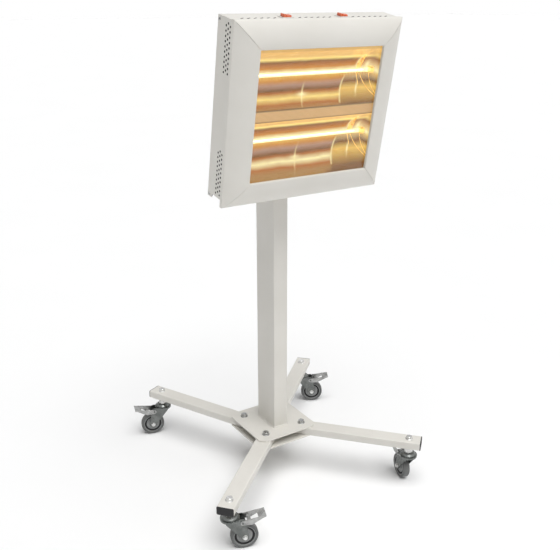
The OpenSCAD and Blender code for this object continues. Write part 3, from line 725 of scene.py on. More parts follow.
# dull black that paints the shade behind and inside the openings
PAINTED_SHADE_BLACK = coated("painted_shade_black", (0.020, 0.019, 0.018), (0.012, 0.012, 0.011), 0.75, 900.0, 0.2)
PALE_PLASTIC = coated("pale_plastic", (0.74, 0.73, 0.70), (0.66, 0.65, 0.62), 0.38, 2200.0, 0.12)
ZINC = zinc_finish("zinc_plate", (0.50, 0.505, 0.50), (0.27, 0.27, 0.265))
DARK_ZINC = zinc_finish("dull_zinc", (0.215, 0.225, 0.22), (0.13, 0.14, 0.135))
BRIGHT_ZINC = zinc_finish("bright_zinc", (0.80, 0.80, 0.79), (0.55, 0.55, 0.54))
PANE = pane_finish()
UPPER_GOLD_PAINTED_GLOW = reflector_with_painted_glow("gold_upper_painted_glow", trough_bands(PALE))
LOWER_GOLD_PAINTED_GLOW = reflector_with_painted_glow("gold_lower_painted_glow", trough_bands(GLARE))
STRIP_GOLD_PAINTED_GLOW = strip_with_painted_glow()
QUARTZ = quartz_finish()
BRASS_PAINTED_GLOW = brass_with_painted_glow()
ROCKER = rocker_finish()
FILAMENT = lit("filament", (1.0, 0.86, 0.48), 3.0, 0.10)

CAD_FINISHES = {"head_paint": HEAD_PAINT, "stand_paint": STAND_PAINT, "black_plastic": BLACK,
                "tyre_rubber": TYRE, "wheel_plastic": WHEEL, "pane": PANE, "holder": HOLDER,
                "lamp_quartz": QUARTZ, "gold_reflector": UPPER_GOLD_PAINTED_GLOW, "rocker": ROCKER,
                "zinc": ZINC}


def dress_cad_nodes():
    """Gives each CAD node the finish of its own material slot."""
    for part in frame["record"]["subparts"]:
        item = nodes[part["node"]]
        item.data.materials.clear()
        item.data.materials.append(CAD_FINISHES[part["material_slot"]])


# ------------------------------------------------------------------ bezel

BEZEL_BULGE = 7 * MM
BEZEL_SHEET = 2 * MM
BEZEL_SEAM = 1.0 * MM


def bezel_line(breadth, fall, back, lip, inset):
    """One side of the bezel's sheet in (s, y), from the lip round the face to the outer edge.

    The face is an arc whose chord runs from (0, 0) to (breadth, fall), and which stands
    BEZEL_BULGE in front of it. A quarter circle rounds it into the lip, and a parabola into
    the outer edge. inset moves the whole line into the sheet.
    """
    chord = math.hypot(breadth, fall)
    radius = (chord * chord / 4 + BEZEL_BULGE ** 2) / (2 * BEZEL_BULGE)
    centre = np.array([breadth / 2 - (radius - BEZEL_BULGE) * fall / chord,
                       fall / 2 + (radius - BEZEL_BULGE) * breadth / chord])
    soft = 2.5 * MM
    bend = radius - inset
    s = np.linspace(inset + soft, breadth - inset - soft * 0.8, 40)
    y = centre[1] - np.sqrt(bend * bend - (s - centre[0]) ** 2)
    turn = np.linspace(math.pi, 1.5 * math.pi, 6)[:-1]
    lip_bend = np.stack([inset + soft + soft * np.cos(turn), y[0] + soft + soft * np.sin(turn)], -1)
    share = np.linspace(0, 1, 6)[1:, None]
    begin = np.array([s[-1], y[-1]])
    corner = np.array([breadth - inset, y[-1] + soft * 0.75])
    finish = np.array([breadth - inset, y[-1] + soft * 1.8])
    edge_bend = ((1 - share) ** 2 * begin + 2 * share * (1 - share) * corner
                 + share ** 2 * finish)
    inner = np.array([[inset, lip]])
    outer = np.array([[breadth - inset, back]])
    return np.concatenate([inner, lip_bend, np.stack([s, y], -1), edge_bend, outer])


def bezel_strip(name, turn, half_along, half_across, lines):
    """One strip of the bezel: both lines of its sheet, carried along to its 45 degree ends.

    turn is the strip's quarter turns about the head's Y, from the top strip.
    """
    angle = turn * math.pi / 2
    rotation = np.array([[math.cos(angle), 0, -math.sin(angle)], [0, 1, 0],
                         [math.sin(angle), 0, math.cos(angle)]])
    share = np.linspace(-1, 1, 9)[:, None]
    sides = []
    for line in lines:
        s, y = line.T
        reach = share * (half_along + s - BEZEL_SEAM / 2)
        grid = np.stack([reach, np.tile(y, (9, 1)), np.tile(half_across + s, (9, 1))], -1)
        sides.append(HEAD.world(grid @ rotation))
    add_piece(name + "_formed", sheet_solid(*sides), "head", HEAD_PAINT, (name,),
              sharp=40.0)


def make_bezel():
    """The four mitred strips of the bezel."""
    low, high = local_box(HEAD, "bezel_top")
    side_low, side_high = local_box(HEAD, "bezel_right")
    half_w, breadth = side_low[0], side_high[0] - side_low[0]
    half_h = low[2]
    pane_front = local_box(HEAD, "glass")[0][1]
    lines = [bezel_line(breadth, high[1] - 9 * MM, high[1], pane_front, inset)
             for inset in (0.0, BEZEL_SHEET)]
    bezel_strip("bezel_top", 0, half_w, half_h, lines)
    bezel_strip("bezel_right", 1, half_h, half_w, lines)
    bezel_strip("bezel_bottom", 2, half_w, half_h, lines)
    bezel_strip("bezel_left", 3, half_h, half_w, lines)


# ------------------------------------------------------------------ lamps and reflectors

REFLECTOR_SHEET = 1.2 * MM
# The seam and star below place painted highlights: reflections of the lamp painted into the troughs' glow.
SEAM_MIDDLE = 165 * MM      # X of the seam of an end piece, level with the lamp
SEAM_LEAN = 1.1             # how far the seam moves outwards as it rises
SEAM_WIDTH = 2.2 * MM
SEAM_ECHO = 55 * MM         # from the seam to its fainter image
STAR_PLACE = -15 * MM       # X of the bright star that the lamp makes in the lower wall
STAR_HEIGHT = -50           # and its height above the lamp, in mm
# pitch of the painted darker lines under the lamp
CELL_PITCH = 10 * MM
SUPPORT_PLACE = 185 * MM    # X at which a support plate stands


def trough_sizes(name, lamp):
    """Side (+1 upper, -1 lower), lamp centre and the trough's sizes, from the CAD boxes."""
    low, high = local_box(HEAD, name)
    lamp_low, lamp_high = local_box(HEAD, lamp)
    centre = (lamp_low + lamp_high) / 2
    side = 1.0 if centre[2] > 0 else -1.0
    inner = low[2] if side > 0 else -high[2]
    outer = high[2] if side > 0 else -low[2]
    return {"side": side, "lamp_y": centre[1], "lamp_z": centre[2],
            "half": side * centre[2] - inner, "flange": outer - side * centre[2],
            "front": low[1], "back": high[1] - 1.5 * MM, "end": high[0]}


def trough_depth_at(sizes, z):
    """Y of the trough's sheet at height z from its lamp: back - z^2 / (4 focus)."""
    focus = sizes["back"] - sizes["lamp_y"]
    return sizes["back"] - np.minimum(np.abs(z), sizes["half"]) ** 2 / (4 * focus)


def seam_place(height):
    """X at which the end piece begins, at a height in mm from the lamp: a slanting line."""
    return SEAM_MIDDLE + SEAM_LEAN * height * MM


def bell(value, width):
    """Bell curve of a distance: 1 at 0, and small beyond its width."""
    return np.exp(-(value / width) ** 2)


def paint_trough(item, sizes, x, z):
    """Stores where each point lies near the trough's ends, on its painted highlights and on its painted darker
    lines.

    end is a smooth step in X at the seam, where the painted glow changes. glint is the largest of
    several painted highlights, each a bell curve along X times one in height, in mm above the lamp;
    the painted dark lines are a row of thin lines, a raised cosine of X to the third power, under the lamp.
    """
    height = z / MM
    seam = seam_place(height)
    end = 1 / (1 + np.exp(-(x - seam) / SEAM_WIDTH))
    lower_half = 1 / (1 + np.exp((height + 18) / 3))
    upper_half = 1 - lower_half
    on_seam = 0.85 * bell(x - seam, SEAM_WIDTH) * lower_half * (height > -70)
    beside_seam = bell(x - seam - SEAM_ECHO, 3 * MM) * bell(height + 45, 11)
    on_plate = 0.8 * bell(np.abs(x) - SUPPORT_PLACE, 3 * MM) * bell(height - 22, 22)
    at_holder = bell(np.abs(x) - sizes["end"] + 10 * MM, 9 * MM) * bell(height - 8, 14)
    across_star = x - STAR_PLACE - (height - STAR_HEIGHT) * MM
    star = (bell(across_star, 2 * MM) * bell(height - STAR_HEIGHT, 19)
            + bell(across_star, 14 * MM) * bell(height - STAR_HEIGHT, 4))
    glint = np.max([on_seam, beside_seam, on_plate, at_holder * upper_half, 0.9 * star], 0)
    lines = (0.5 + 0.5 * np.cos(2 * math.pi * x / CELL_PITCH)) ** 3
    painted_dark_lines = bell(height + 12, 8) * lines * (0.9 if sizes["side"] > 0 else 0.3)
    set_values(item, "end", end * (0.35 + 0.65 * lower_half))
    set_values(item, "glint", np.clip(glint, 0, 1))
    set_values(item, "painted_dark_lines", painted_dark_lines)


def make_trough(name, lamp, material):
    """A reflector: the parabola and its flange as a sheet, and the cheek that closes each end.

    The sheet's front is (x, back - z^2 / (4 focus), z), with the flange running on to the glass;
    its back is the same line moved along its normal. A cheek's points lie between the trough's
    line and its mouth.
    """
    sizes = trough_sizes(name, lamp)
    side, half, flange = sizes["side"], sizes["half"], sizes["flange"]
    curve_z = np.linspace(-half, half, 64)
    line_z = np.concatenate([curve_z, [flange - 1 * MM, flange, flange]])
    line_y = np.concatenate([trough_depth_at(sizes, curve_z * side),
                             [trough_depth_at(sizes, half)] * 2, [sizes["front"]]])
    line_y[-2] -= 1 * MM
    line_z = line_z * side
    if side < 0:
        line_z, line_y = line_z[::-1], line_y[::-1]
    slope_y, slope_z = np.gradient(line_y), np.gradient(line_z)
    length = np.hypot(slope_y, slope_z)
    x = np.linspace(-sizes["end"] + 1 * MM, sizes["end"] - 1 * MM, 420)
    shape = (len(x), len(line_z))
    grid_x = np.repeat(x[:, None], shape[1], 1)
    front = np.stack([grid_x, np.tile(line_y, (shape[0], 1)), np.tile(line_z, (shape[0], 1))], -1)
    shift = REFLECTOR_SHEET * np.stack([np.zeros(shape[1]), slope_z / length,
                                        -slope_y / length], -1)
    back = front + shift
    parts = [sheet_solid(front, back)]
    lit_part = [np.ones(front[..., 0].size), np.zeros(front[..., 0].size)]
    cheek_z = np.linspace(-half, flange, 60) * side
    deep = trough_depth_at(sizes, cheek_z)
    share = np.linspace(0, 1, 24)[:, None]
    cheek_y = sizes["front"] + share * (deep - sizes["front"])
    for end in (-1.0, 1.0):
        inner = np.stack([np.full(cheek_y.shape, end * (sizes["end"] - 1 * MM)), cheek_y,
                          np.tile(cheek_z, (24, 1))], -1)
        outer = inner + [end * 1 * MM, 0, 0]
        parts.append(sheet_solid(inner, outer))
        lit_part += [np.ones(cheek_y.size), np.zeros(cheek_y.size)]
    points, faces = joined(parts)
    across = band_spot(np.clip(points[:, 2] / MM, -TROUGH_SPAN * 1.2, TROUGH_SPAN * 1.2))
    placed = HEAD.world(points + [0, 0, sizes["lamp_z"]])
    item = add_piece(name + "_formed", (placed, faces), "head", material,
                     (name,), sharp=50.0)
    # These attributes place the painted glow, highlights and darker lines on the sheet's front; its back gets
    # none.
    set_values(item, "across", across)
    set_values(item, "lit", np.concatenate(lit_part))
    paint_trough(item, sizes, points[:, 0], points[:, 2])
    return sizes


def make_centre_strip():
    """The strip between the troughs: a sheet with a relief of two crossed waves."""
    low, high = local_box(HEAD, "centre_strip")
    x = np.linspace(low[0], high[0], 560)[:, None]
    z = np.linspace(low[2], high[2], 64)[None, :]
    pitch = 6.4 * MM
    relief = 0.5 + 0.5 * (np.sin(2 * math.pi * (x + z) / pitch)
                          * np.sin(2 * math.pi * (x - z) / pitch))
    margin = np.minimum(high[2] - np.abs(z), 4 * MM) / (4 * MM)
    relief = relief * np.clip(margin * 2 - 1, 0, 1)
    grid = np.stack([x + 0 * z, low[1] + 0.5 * MM - 0.5 * MM * relief, z + 0 * x], -1)
    back = np.stack([x + 0 * z, np.full(relief.shape, high[1]), z + 0 * x], -1)
    points, faces = sheet_solid(grid, back)
    item = add_piece("centre_strip_formed", (HEAD.world(points), faces), "head", STRIP_GOLD_PAINTED_GLOW,
                     ("centre_strip",), sharp=60.0)
    # painted shade along the strip's top edge, painted highlight on the raised weave, painted glow on its front
    # only
    edge = np.clip((z - high[2] + 4 * MM) / (2 * MM), 0, 1) + 0 * x
    set_values(item, "edge", np.concatenate([edge.ravel(), np.zeros(edge.size)]))
    set_values(item, "relief", np.concatenate([relief.ravel(), np.zeros(relief.size)]))
    set_values(item, "lit", np.concatenate([np.ones(relief.size), np.zeros(relief.size)]))


PINCH_LENGTH = 16 * MM


def make_lamp(name):
    """Quartz tube with pinched ends, and the filament coil inside it.

    The tube's sections are ellipses along X whose half sizes run from the round tube to the
    flat pinch. The coil is (x, r cos kx, r sin kx) with a small round section.
    """
    low, high = local_box(HEAD, name)
    centre = (low + high) / 2
    reach = high[0]
    round_r = (high[1] - low[1]) / 2
    glass_end = reach - PINCH_LENGTH
    stations = np.concatenate([np.linspace(0, glass_end, 40), glass_end + PINCH_LENGTH
                               * np.array([0.15, 0.3, 0.45, 0.7, 0.95, 1.0])])
    stations = np.concatenate([-stations[:0:-1], stations])
    flat = np.clip((np.abs(stations) - glass_end) / (0.45 * PINCH_LENGTH), 0, 1)
    flat = flat * flat * (3 - 2 * flat)
    round_half = 0.86 * round_r
    half_y = round_half + flat * (0.42 * round_r - round_half)
    half_z = round_half + flat * (0.98 * round_r - round_half)
    angle = circle(28)
    loops = np.stack([np.repeat(stations[:, None], 28, 1), half_y[:, None] * np.cos(angle),
                      half_z[:, None] * np.sin(angle)], -1)
    points, faces = closed_loft(loops)
    add_piece(name + "_formed", (HEAD.world(points + centre * [0, 1, 1]), faces), "head", QUARTZ,
              (name,), sharp=60.0)
    x = np.linspace(-glass_end + 6 * MM, glass_end - 6 * MM, 2600)
    turn = 2 * math.pi * x / (2.4 * MM)
    coil = np.stack([x, 1.2 * MM * np.cos(turn), 1.2 * MM * np.sin(turn)], -1)
    points, faces = tube(coil, 0.45 * MM, 5)
    add_piece(name + "_filament", (HEAD.world(points + centre * [0, 1, 1]), faces), "head",
              FILAMENT, (), sharp=80.0)


def make_holders(troughs):
    """Holders with rounded edges at the lamps' ends, the support plates and the leads."""
    high = local_box(HEAD, "lamp_holders")[1]
    tip = local_box(HEAD, "lamp_upper")[1][0]
    depth = 18 * MM
    blocks, plates, leads = [], [], []
    for sizes in troughs:
        centre = np.array([0.0, sizes["lamp_y"], sizes["lamp_z"]])
        for end in (-1.0, 1.0):
            place = Place(HEAD.world(centre + [end * (tip - 3 * MM), 0, 0]), HEAD.axes[1],
                          end * HEAD.axes[0])
            span = high[0] - tip + 3 * MM
            blocks.append(slab(place, ((0.5 * depth, 0.5 * depth, 2 * MM, 0.0),
                                       (0.8 * depth, 0.8 * depth, 4 * MM, 0.8 * MM),
                                       (depth, depth, 5 * MM, 3 * MM),
                                       (depth, depth, 5 * MM, span - 1.5 * MM),
                                       (0.9 * depth, 0.9 * depth, 5 * MM, span))))
            plates.append(support_plate(sizes, centre, end))
            leads += lead_wires(centre, end, tip)
    # holders, plates and leads carry painted lamp light as emission
    add_piece("lamp_holders_formed", joined(blocks), "head", BRASS_PAINTED_GLOW, ("lamp_holders",))
    add_piece("lamp_supports", joined(plates), "head", BRASS_PAINTED_GLOW)
    add_piece("lamp_leads", joined(leads), "head", BRASS_PAINTED_GLOW, (), sharp=80.0)


def support_plate(sizes, centre, end):
    """A curved plate behind and above a lamp near its end.

    In (y, z) it is a ring sector round the lamp, from 60 degrees below straight back to 22 past
    straight up. Its inner radius is 7 mm, and its outer one is 16 + 46 sin(angle) mm, held at 16
    and 62, and it stops 1.5 mm in front of the trough. It curls outwards as a parabola.
    """
    turn = np.linspace(math.radians(-60), math.radians(112), 40)[:, None]
    reach = np.linspace(0, 1, 6)[None, :]
    outer = (16 + 46 * np.sin(np.clip(turn + 0.2, 0, math.pi / 2))) * MM
    radius = 7 * MM + reach * (outer - 7 * MM)
    y = radius * np.cos(turn)
    z = radius * np.sin(turn)
    y = np.minimum(y, trough_depth_at(sizes, z) - centre[1] - 1.5 * MM)
    curl = 5 * MM * reach ** 2
    front = np.stack([end * (SUPPORT_PLACE + curl + 0 * y), y, z], -1) + centre
    return sheet_solid(HEAD.world(front), HEAD.world(front + [end * 0.8 * MM, 0, 0]))


def lead_wires(centre, end, tip):
    """Bare leads from a lamp's end: quadratic curves that hang to the foot of its trough."""
    share = np.linspace(0, 1, 24)[:, None]
    curves = []
    runs = (((tip - 2 * MM, -2 * MM, -7 * MM), (tip - 2 * MM, -10 * MM, -45 * MM),
             (tip + 4 * MM, -53 * MM, -66 * MM)),
            ((SUPPORT_PLACE, -3 * MM, -8 * MM), (SUPPORT_PLACE + 10 * MM, -12 * MM, -42 * MM),
             (SUPPORT_PLACE + 34 * MM, -52 * MM, -66 * MM)),
            ((SUPPORT_PLACE - 12 * MM, -3 * MM, -7 * MM),
             (SUPPORT_PLACE - 8 * MM, -6 * MM, -24 * MM),
             (SUPPORT_PLACE - 4 * MM, -8 * MM, -38 * MM)))
    for run in runs:
        first, second, third = (np.array(spot) * [end, 1, 1] for spot in run)
        path = (1 - share) ** 2 * first + 2 * share * (1 - share) * second + share ** 2 * third
        points, faces = tube(path, 0.9 * MM, 6)
        curves.append((HEAD.world(points + centre), faces))
    return curves


# ------------------------------------------------------------------ fittings of the head

def make_shade_sheets():
    """Black sheets behind the perforated side panels and under the vents, painting the shade seen through them.

    Each is a shallow corrugated sheet: a plane moved by a sine of the height on the sides, and
    of X under the vents.
    """
    panel_low, panel_high = local_box(HEAD, "side_panel_right")
    top_low, top_high = local_box(HEAD, "housing_top")
    y = np.linspace(panel_low[1] + 2 * MM, panel_high[1] - 8 * MM, 16)[:, None]
    z = np.linspace(panel_low[2] + 16 * MM, panel_high[2] - 6 * MM, 200)[None, :]
    parts = []
    for end in (-1.0, 1.0):
        x = end * (panel_low[0] - 5 * MM + 0.8 * MM * np.sin(2 * math.pi * z / (12 * MM)) + 0 * y)
        front = np.stack([x, y + 0 * z, z + 0 * y], -1)
        parts.append(sheet_solid(HEAD.world(front), HEAD.world(front - [end * 0.8 * MM, 0, 0])))
    x = np.linspace(top_low[0] + 8 * MM, top_high[0] - 8 * MM, 200)[:, None]
    y = np.linspace(top_low[1] + 2 * MM, top_low[1] + 18 * MM, 6)[None, :]
    z = top_low[2] - 6 * MM + 0.6 * MM * np.sin(2 * math.pi * x / (12 * MM)) + 0 * y
    front = np.stack([x + 0 * y, y + 0 * x, z], -1)
    parts.append(sheet_solid(HEAD.world(front), HEAD.world(front - [0, 0, 0.8 * MM])))
    add_piece("painted_shade_sheets", joined(parts), "head", PAINTED_SHADE_BLACK, (), sharp=60.0)


ROCKER_TILT = 9.0           # degrees that a rocker rests from level


def make_rocker(side):
    """A rocker, lying at its rest angle on its joint.

    Its top is a shallow V, z = top - 2.7 + 2.4 (|x| / half)^1.4 mm, with fine grip ribs towards
    each end, which is rounded off; sections along Y shrink towards its two sides to round them.
    """
    name = "rocker_" + side
    pivot = HEAD.local(joints["switch_" + side]["pos_m"])
    tilt = math.radians(ROCKER_TILT)
    x_axis = math.cos(tilt) * HEAD.axes[0] - math.sin(tilt) * HEAD.axes[2]
    z_axis = math.cos(tilt) * HEAD.axes[2] + math.sin(tilt) * HEAD.axes[0]
    place = Place(HEAD.world(pivot), x_axis, z_axis)
    low, high = local_box(place, name)
    half, top = (high[0] - low[0]) / 2, high[2]
    half_y = 8.6 * MM
    x = np.linspace(half, -half, 90)
    end_share = np.abs(x) / half
    ribs = np.where(end_share > 0.45, 0.25 * MM * np.cos(2 * math.pi * x / (1.8 * MM)), 0.0)
    upper = top - 2.7 * MM + 2.4 * MM * end_share ** 1.4 + ribs
    upper = upper - 1.2 * MM * np.clip((end_share - 0.93) / 0.07, 0, 1) ** 2
    outline = np.concatenate([np.stack([x, upper], -1),
                              [[-half, 3 * MM], [-0.35 * half, -3 * MM], [0.35 * half, -3 * MM],
                               [half, 3 * MM]]])
    loops = []
    for y, shrink in ((-1.0, 0.93), (-0.97, 0.97), (-0.9, 1.0), (0.9, 1.0), (0.97, 0.97),
                      (1.0, 0.93)):
        middle_z = (top - 3 * MM) / 2
        loop = (outline - [0, middle_z]) * shrink + [0, middle_z]
        loops.append(np.stack([loop[:, 0], np.full(len(loop), y * half_y), loop[:, 1]], -1))
    points, faces = closed_loft(np.array(loops))
    pin = Place(HEAD.world(pivot), x_axis, HEAD.axes[1])
    reach = (high[1] - low[1]) / 2
    pins = turned(pin, ((0, -reach), (1.3 * MM, -reach), (1.5 * MM, -reach + 0.3 * MM),
                        (1.5 * MM, reach - 0.3 * MM), (1.3 * MM, reach), (0, reach)), 24)
    add_piece(name + "_formed", joined([(place.world(points), faces), pins]), name, ROCKER,
              (name,), sharp=50.0)


def pan_head(place, radius, height):
    """A pan head screw: a dome, with a cross sunk where a point is near either of two lines."""
    rings = np.concatenate([np.linspace(0, 0.92, 22), [0.96, 0.99, 1.0, 1.0]])[:, None]
    angle = circle(64)[None, :]
    dome = height * np.sqrt(np.clip(1 - (0.97 * rings) ** 4, 0, 1))
    dome[-1] = 0.0
    x, y = rings * np.cos(angle), rings * np.sin(angle)
    slot = np.minimum(np.abs(x), np.abs(y)) < 0.13
    inside = np.maximum(np.abs(x), np.abs(y)) < 0.55
    z = dome - np.where(slot & inside, 0.55 * height, 0.0)
    loops = np.stack([radius * x, radius * y, z + 0 * x], -1)[::-1]
    points, faces = closed_loft(loops)
    return place.world(points), faces


def make_screws():
    """Pan head screws at the corners of the side panels and on the bracket."""
    low, high = local_box(HEAD, "housing_screws")
    panel_high = local_box(HEAD, "side_panel_right")[1]
    bracket_low, bracket_high = local_box(HEAD, "head_bracket")
    bracket_plate = local_box(HEAD, "housing_shell")[1][1] + 3 * MM
    screws = []
    for end in (-1.0, 1.0):
        for z in (high[2] - 4 * MM, low[2] + 4 * MM):
            spot = [end * panel_high[0], panel_high[1] - 9 * MM, z]
            screws.append(pan_head(Place(HEAD.world(spot), HEAD.axes[1], end * HEAD.axes[0]),
                                   4 * MM, 2.4 * MM))
        for z in (bracket_low[2] + 10 * MM, bracket_high[2] - 10 * MM):
            spot = [end * (bracket_high[0] - 8 * MM), bracket_plate, z]
            screws.append(pan_head(Place(HEAD.world(spot), HEAD.axes[0], HEAD.axes[1]),
                                   4 * MM, 2.4 * MM))
    add_piece("housing_screws_formed", joined(screws), "head", ZINC, ("housing_screws",),
              sharp=40.0)


# ------------------------------------------------------------------ stand and casters

def hex_bolt(place, across, height, grip, tail, nut):
    """Bolt on the place's Z = 0: washer, chamfered head, shank, and a nut below its grip."""
    shank = across / 3
    washer = turned(place, ((0, 0), (0.64 * across, 0), (0.667 * across, 0.4 * MM),
                            (0.667 * across, 1.6 * MM), (0.64 * across, 2 * MM), (0, 2 * MM)), 64)
    head = hex_head(place.moved(z=2 * MM), across, height)
    body = turned(place, ((0, -grip - tail), (0.8 * shank, -grip - tail),
                          (shank, -grip - tail + 1.2 * MM), (shank, 1 * MM), (0, 1 * MM)), 40)
    nut_part = hex_head(Place(place.world([0, 0, -grip]), place.axes[0], -place.axes[2]),
                        across, nut)
    return [washer, head, body, nut_part]


def make_hub_bolts():
    """The four bolts through the base plates and the arms."""
    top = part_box("base_plate_top")[1][2]
    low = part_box("base_plate_bottom")[0][2]
    parts = []
    for corner in CORNERS:
        spot = joints["arm_pivot_" + corner]["pos_m"]
        place = Place([spot[0], spot[1], top], arm_place(corner).axes[0], [0, 0, 1])
        parts += hex_bolt(place, 18 * MM, 7.4 * MM, top - low, 14 * MM, 9.6 * MM)
    add_piece("hub_bolts_formed", joined(parts), "stand", ZINC, ("hub_bolts",))


def make_tilt_bolt():
    """The bolt that the head tilts on."""
    low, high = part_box("tilt_fork")
    spot = joints["head_tilt"]["pos_m"]
    place = Place([high[0], spot[1], spot[2]], [0, 0, 1], [1, 0, 0])
    parts = hex_bolt(place, 15 * MM, 6.2 * MM, high[0] - low[0], 12 * MM, 8 * MM)
    add_piece("tilt_bolt_formed", joined(parts), "stand", ZINC, ("tilt_bolt",))


def make_weld():
    """Weld bead round the column's foot.

    A rounded rectangle just outside the tube, whose section is a small circle that swells and
    sinks along it as a row of weld ripples does.
    """
    low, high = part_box("column")
    width, depth = high[0] - low[0], high[1] - low[1]
    line = rounded_rectangle(width, depth, 3.5 * MM, 14)
    closed = np.concatenate([line, line[:1]])
    length = np.concatenate([[0], np.cumsum(np.linalg.norm(np.diff(closed, axis=0), axis=1))])
    along = np.linspace(0, length[-1], 600, endpoint=False)
    spine = np.stack([np.interp(along, length, closed[:, k]) for k in (0, 1)], -1)
    ahead = np.roll(spine, -1, 0) - np.roll(spine, 1, 0)
    ahead /= np.linalg.norm(ahead, axis=1, keepdims=True)
    out = np.stack([ahead[:, 1], -ahead[:, 0]], -1)
    angle = circle(12)[None, :]
    swell = (2.6 + 0.25 * np.sin(2 * math.pi * along / (3.1 * MM)))[:, None] * MM
    plan = spine[:, None] + out[:, None] * (swell * np.cos(angle))[..., None]
    rise = low[2] + 0.6 * MM + swell * np.sin(angle)
    rise = np.maximum(rise, low[2] + 0.05 * MM)
    add_piece("column_weld", ring_solid(np.concatenate([plan, rise[..., None]], -1)), "stand",
              STAND_PAINT, (), sharp=80.0)


def make_arm_plug(corner):
    """Black end plug of an arm: a flange with a softly domed face, and a tail inside the tube."""
    name = "arm_plug_" + corner
    arm = arm_place(corner)
    low, high = local_box(arm, name)
    width, height = high[1] - low[1], high[2] - low[2]
    middle_z = (low[2] + high[2]) / 2
    face = Place(arm.world([high[0], 0, middle_z]), arm.axes[1], arm.axes[0])
    inner_w, inner_h = width - 4.3 * MM, height - 4.3 * MM
    flange = high[0] - local_box(arm, "arm_tube_" + corner)[1][0]
    sizes = ((0.9 * inner_w, 0.85 * inner_h, 1 * MM, low[0] - high[0]),
             (inner_w, inner_h, 1 * MM, low[0] - high[0] + 2 * MM),
             (inner_w, inner_h, 1 * MM, -flange),
             (width, height, 3 * MM, -flange),
             (width, height, 3 * MM, -1.1 * MM),
             (width - 0.8 * MM, height - 0.8 * MM, 3 * MM, -0.5 * MM),
             (width - 2.4 * MM, height - 2.4 * MM, 3 * MM, -0.25 * MM),
             (width - 8 * MM, height - 8 * MM, 3 * MM, -0.05 * MM),
             (0.2 * width, 0.2 * height, 1 * MM, 0.0))
    add_piece(name + "_formed", slab(face, sizes), "arm_" + corner, BLACK, (name,))


def make_stem(corner):
    """Caster stem: bolt head on the arm, collar under it, and the keeper inside the fork."""
    name = "caster_stem_" + corner
    caster = caster_place(corner)
    low, high = local_box(caster, name)
    arm_low, arm_high = local_box(caster, "arm_tube_" + corner)
    under, over = arm_low[2], arm_high[2]
    crown = local_box(caster, "caster_fork_" + corner)[1][2] + 0.3 * MM
    outline = ((0, low[2]), (9.4, 0), (10, 0.6), (10, 3.6), (9.4, 4), (6, 4))
    rows = [(r * MM, low[2] + z * MM) for r, z in outline[1:]]
    rows = [(0, low[2])] + rows + [
        (6 * MM, crown), (12.4 * MM, crown), (13 * MM, crown + 0.6 * MM),
        (13 * MM, under - 7.5 * MM), (14.2 * MM, under - 6.4 * MM), (15.4 * MM, under - 6 * MM),
        (16 * MM, under - 5.2 * MM), (16 * MM, under), (6 * MM, under), (6 * MM, over),
        (11.6 * MM, over), (12 * MM, over + 0.4 * MM), (12 * MM, over + 1.6 * MM),
        (11.6 * MM, over + 2 * MM), (0, over + 2 * MM)]
    head = hex_head(caster.moved(z=over + 2 * MM), 18 * MM, high[2] - over - 2 * MM)
    add_piece(name + "_formed", joined([turned(caster, rows, 64), head]), "arm_" + corner,
              BRIGHT_ZINC, (name,))


def mirrored(half_line):
    """A closed (radius, width) loop from its half on the positive side."""
    half_line = np.array(half_line, float)
    return np.concatenate([half_line, half_line[::-1] * [1, -1]])


def make_wheel(corner):
    """Tyre, core with its dished web, and the black ring in the groove between them."""
    body = "wheel_" + corner
    caster = caster_place(corner)
    low, high = local_box(caster, "tyre_" + corner)
    radius, half = (high[2] - low[2]) / 2, high[1]
    rim = (local_box(caster, "wheel_core_" + corner)[1][2] - radius)
    hub = local_box(caster, "wheel_core_" + corner)[1][1]
    place = Place(joints["wheel_spin_" + corner]["pos_m"], caster.axes[0], caster.axes[1])
    bend = np.linspace(0, math.pi / 2, 9)
    shoulder = 4.0 * MM
    tread = [(radius - shoulder + shoulder * math.cos(a) - 0.12 * MM * math.sin(2 * a),
              half - shoulder + shoulder * math.sin(a)) for a in bend]
    tyre_half = ([(radius, 0.0), (radius, half * 0.3)] + tread
                 + [(rim + 1.6 * MM, half), (rim + 1.2 * MM, half - 0.5 * MM),
                    (rim, half - 0.8 * MM)])
    add_piece("tyre_" + corner + "_formed", hollow_turned(place, mirrored(tyre_half), 96), body,
              TYRE, ("tyre_" + corner,), sharp=35.0)
    core_half = [(rim, half - 1.0 * MM), (rim - 0.6 * MM, half - 0.6 * MM),
                 (rim - 1.6 * MM, half - 0.6 * MM), (rim - 2.2 * MM, half - 1.4 * MM),
                 (rim - 2.6 * MM, 3.4 * MM), (rim - 8.6 * MM, 3.4 * MM),
                 (rim - 9.2 * MM, half - 3.6 * MM), (rim - 10.2 * MM, half - 2.8 * MM),
                 (rim - 15 * MM, half - 3.8 * MM), (rim - 18 * MM, half - 4.6 * MM),
                 (12.0 * MM, half - 3.2 * MM), (11.4 * MM, half - 2.4 * MM),
                 (11.2 * MM, hub - 0.5 * MM), (10.6 * MM, hub), (4.1 * MM, hub)]
    add_piece("wheel_core_" + corner + "_formed", hollow_turned(place, mirrored(core_half), 96),
              body, WHEEL, ("wheel_core_" + corner,), sharp=35.0)
    rings = []
    for side in (-1.0, 1.0):
        ring_loop = [(rim - 2.9 * MM, side * 3.5 * MM), (rim - 2.9 * MM, side * (half - 3.4 * MM)),
                     (rim - 3.6 * MM, side * (half - 3.0 * MM)),
                     (rim - 7.8 * MM, side * (half - 3.4 * MM)),
                     (rim - 8.5 * MM, side * (half - 4.0 * MM)),
                     (rim - 8.5 * MM, side * 3.5 * MM)]
        rings.append(hollow_turned(place, ring_loop, 96))
    add_piece("wheel_ring_" + corner, joined(rings), body, BLACK, (), sharp=35.0)


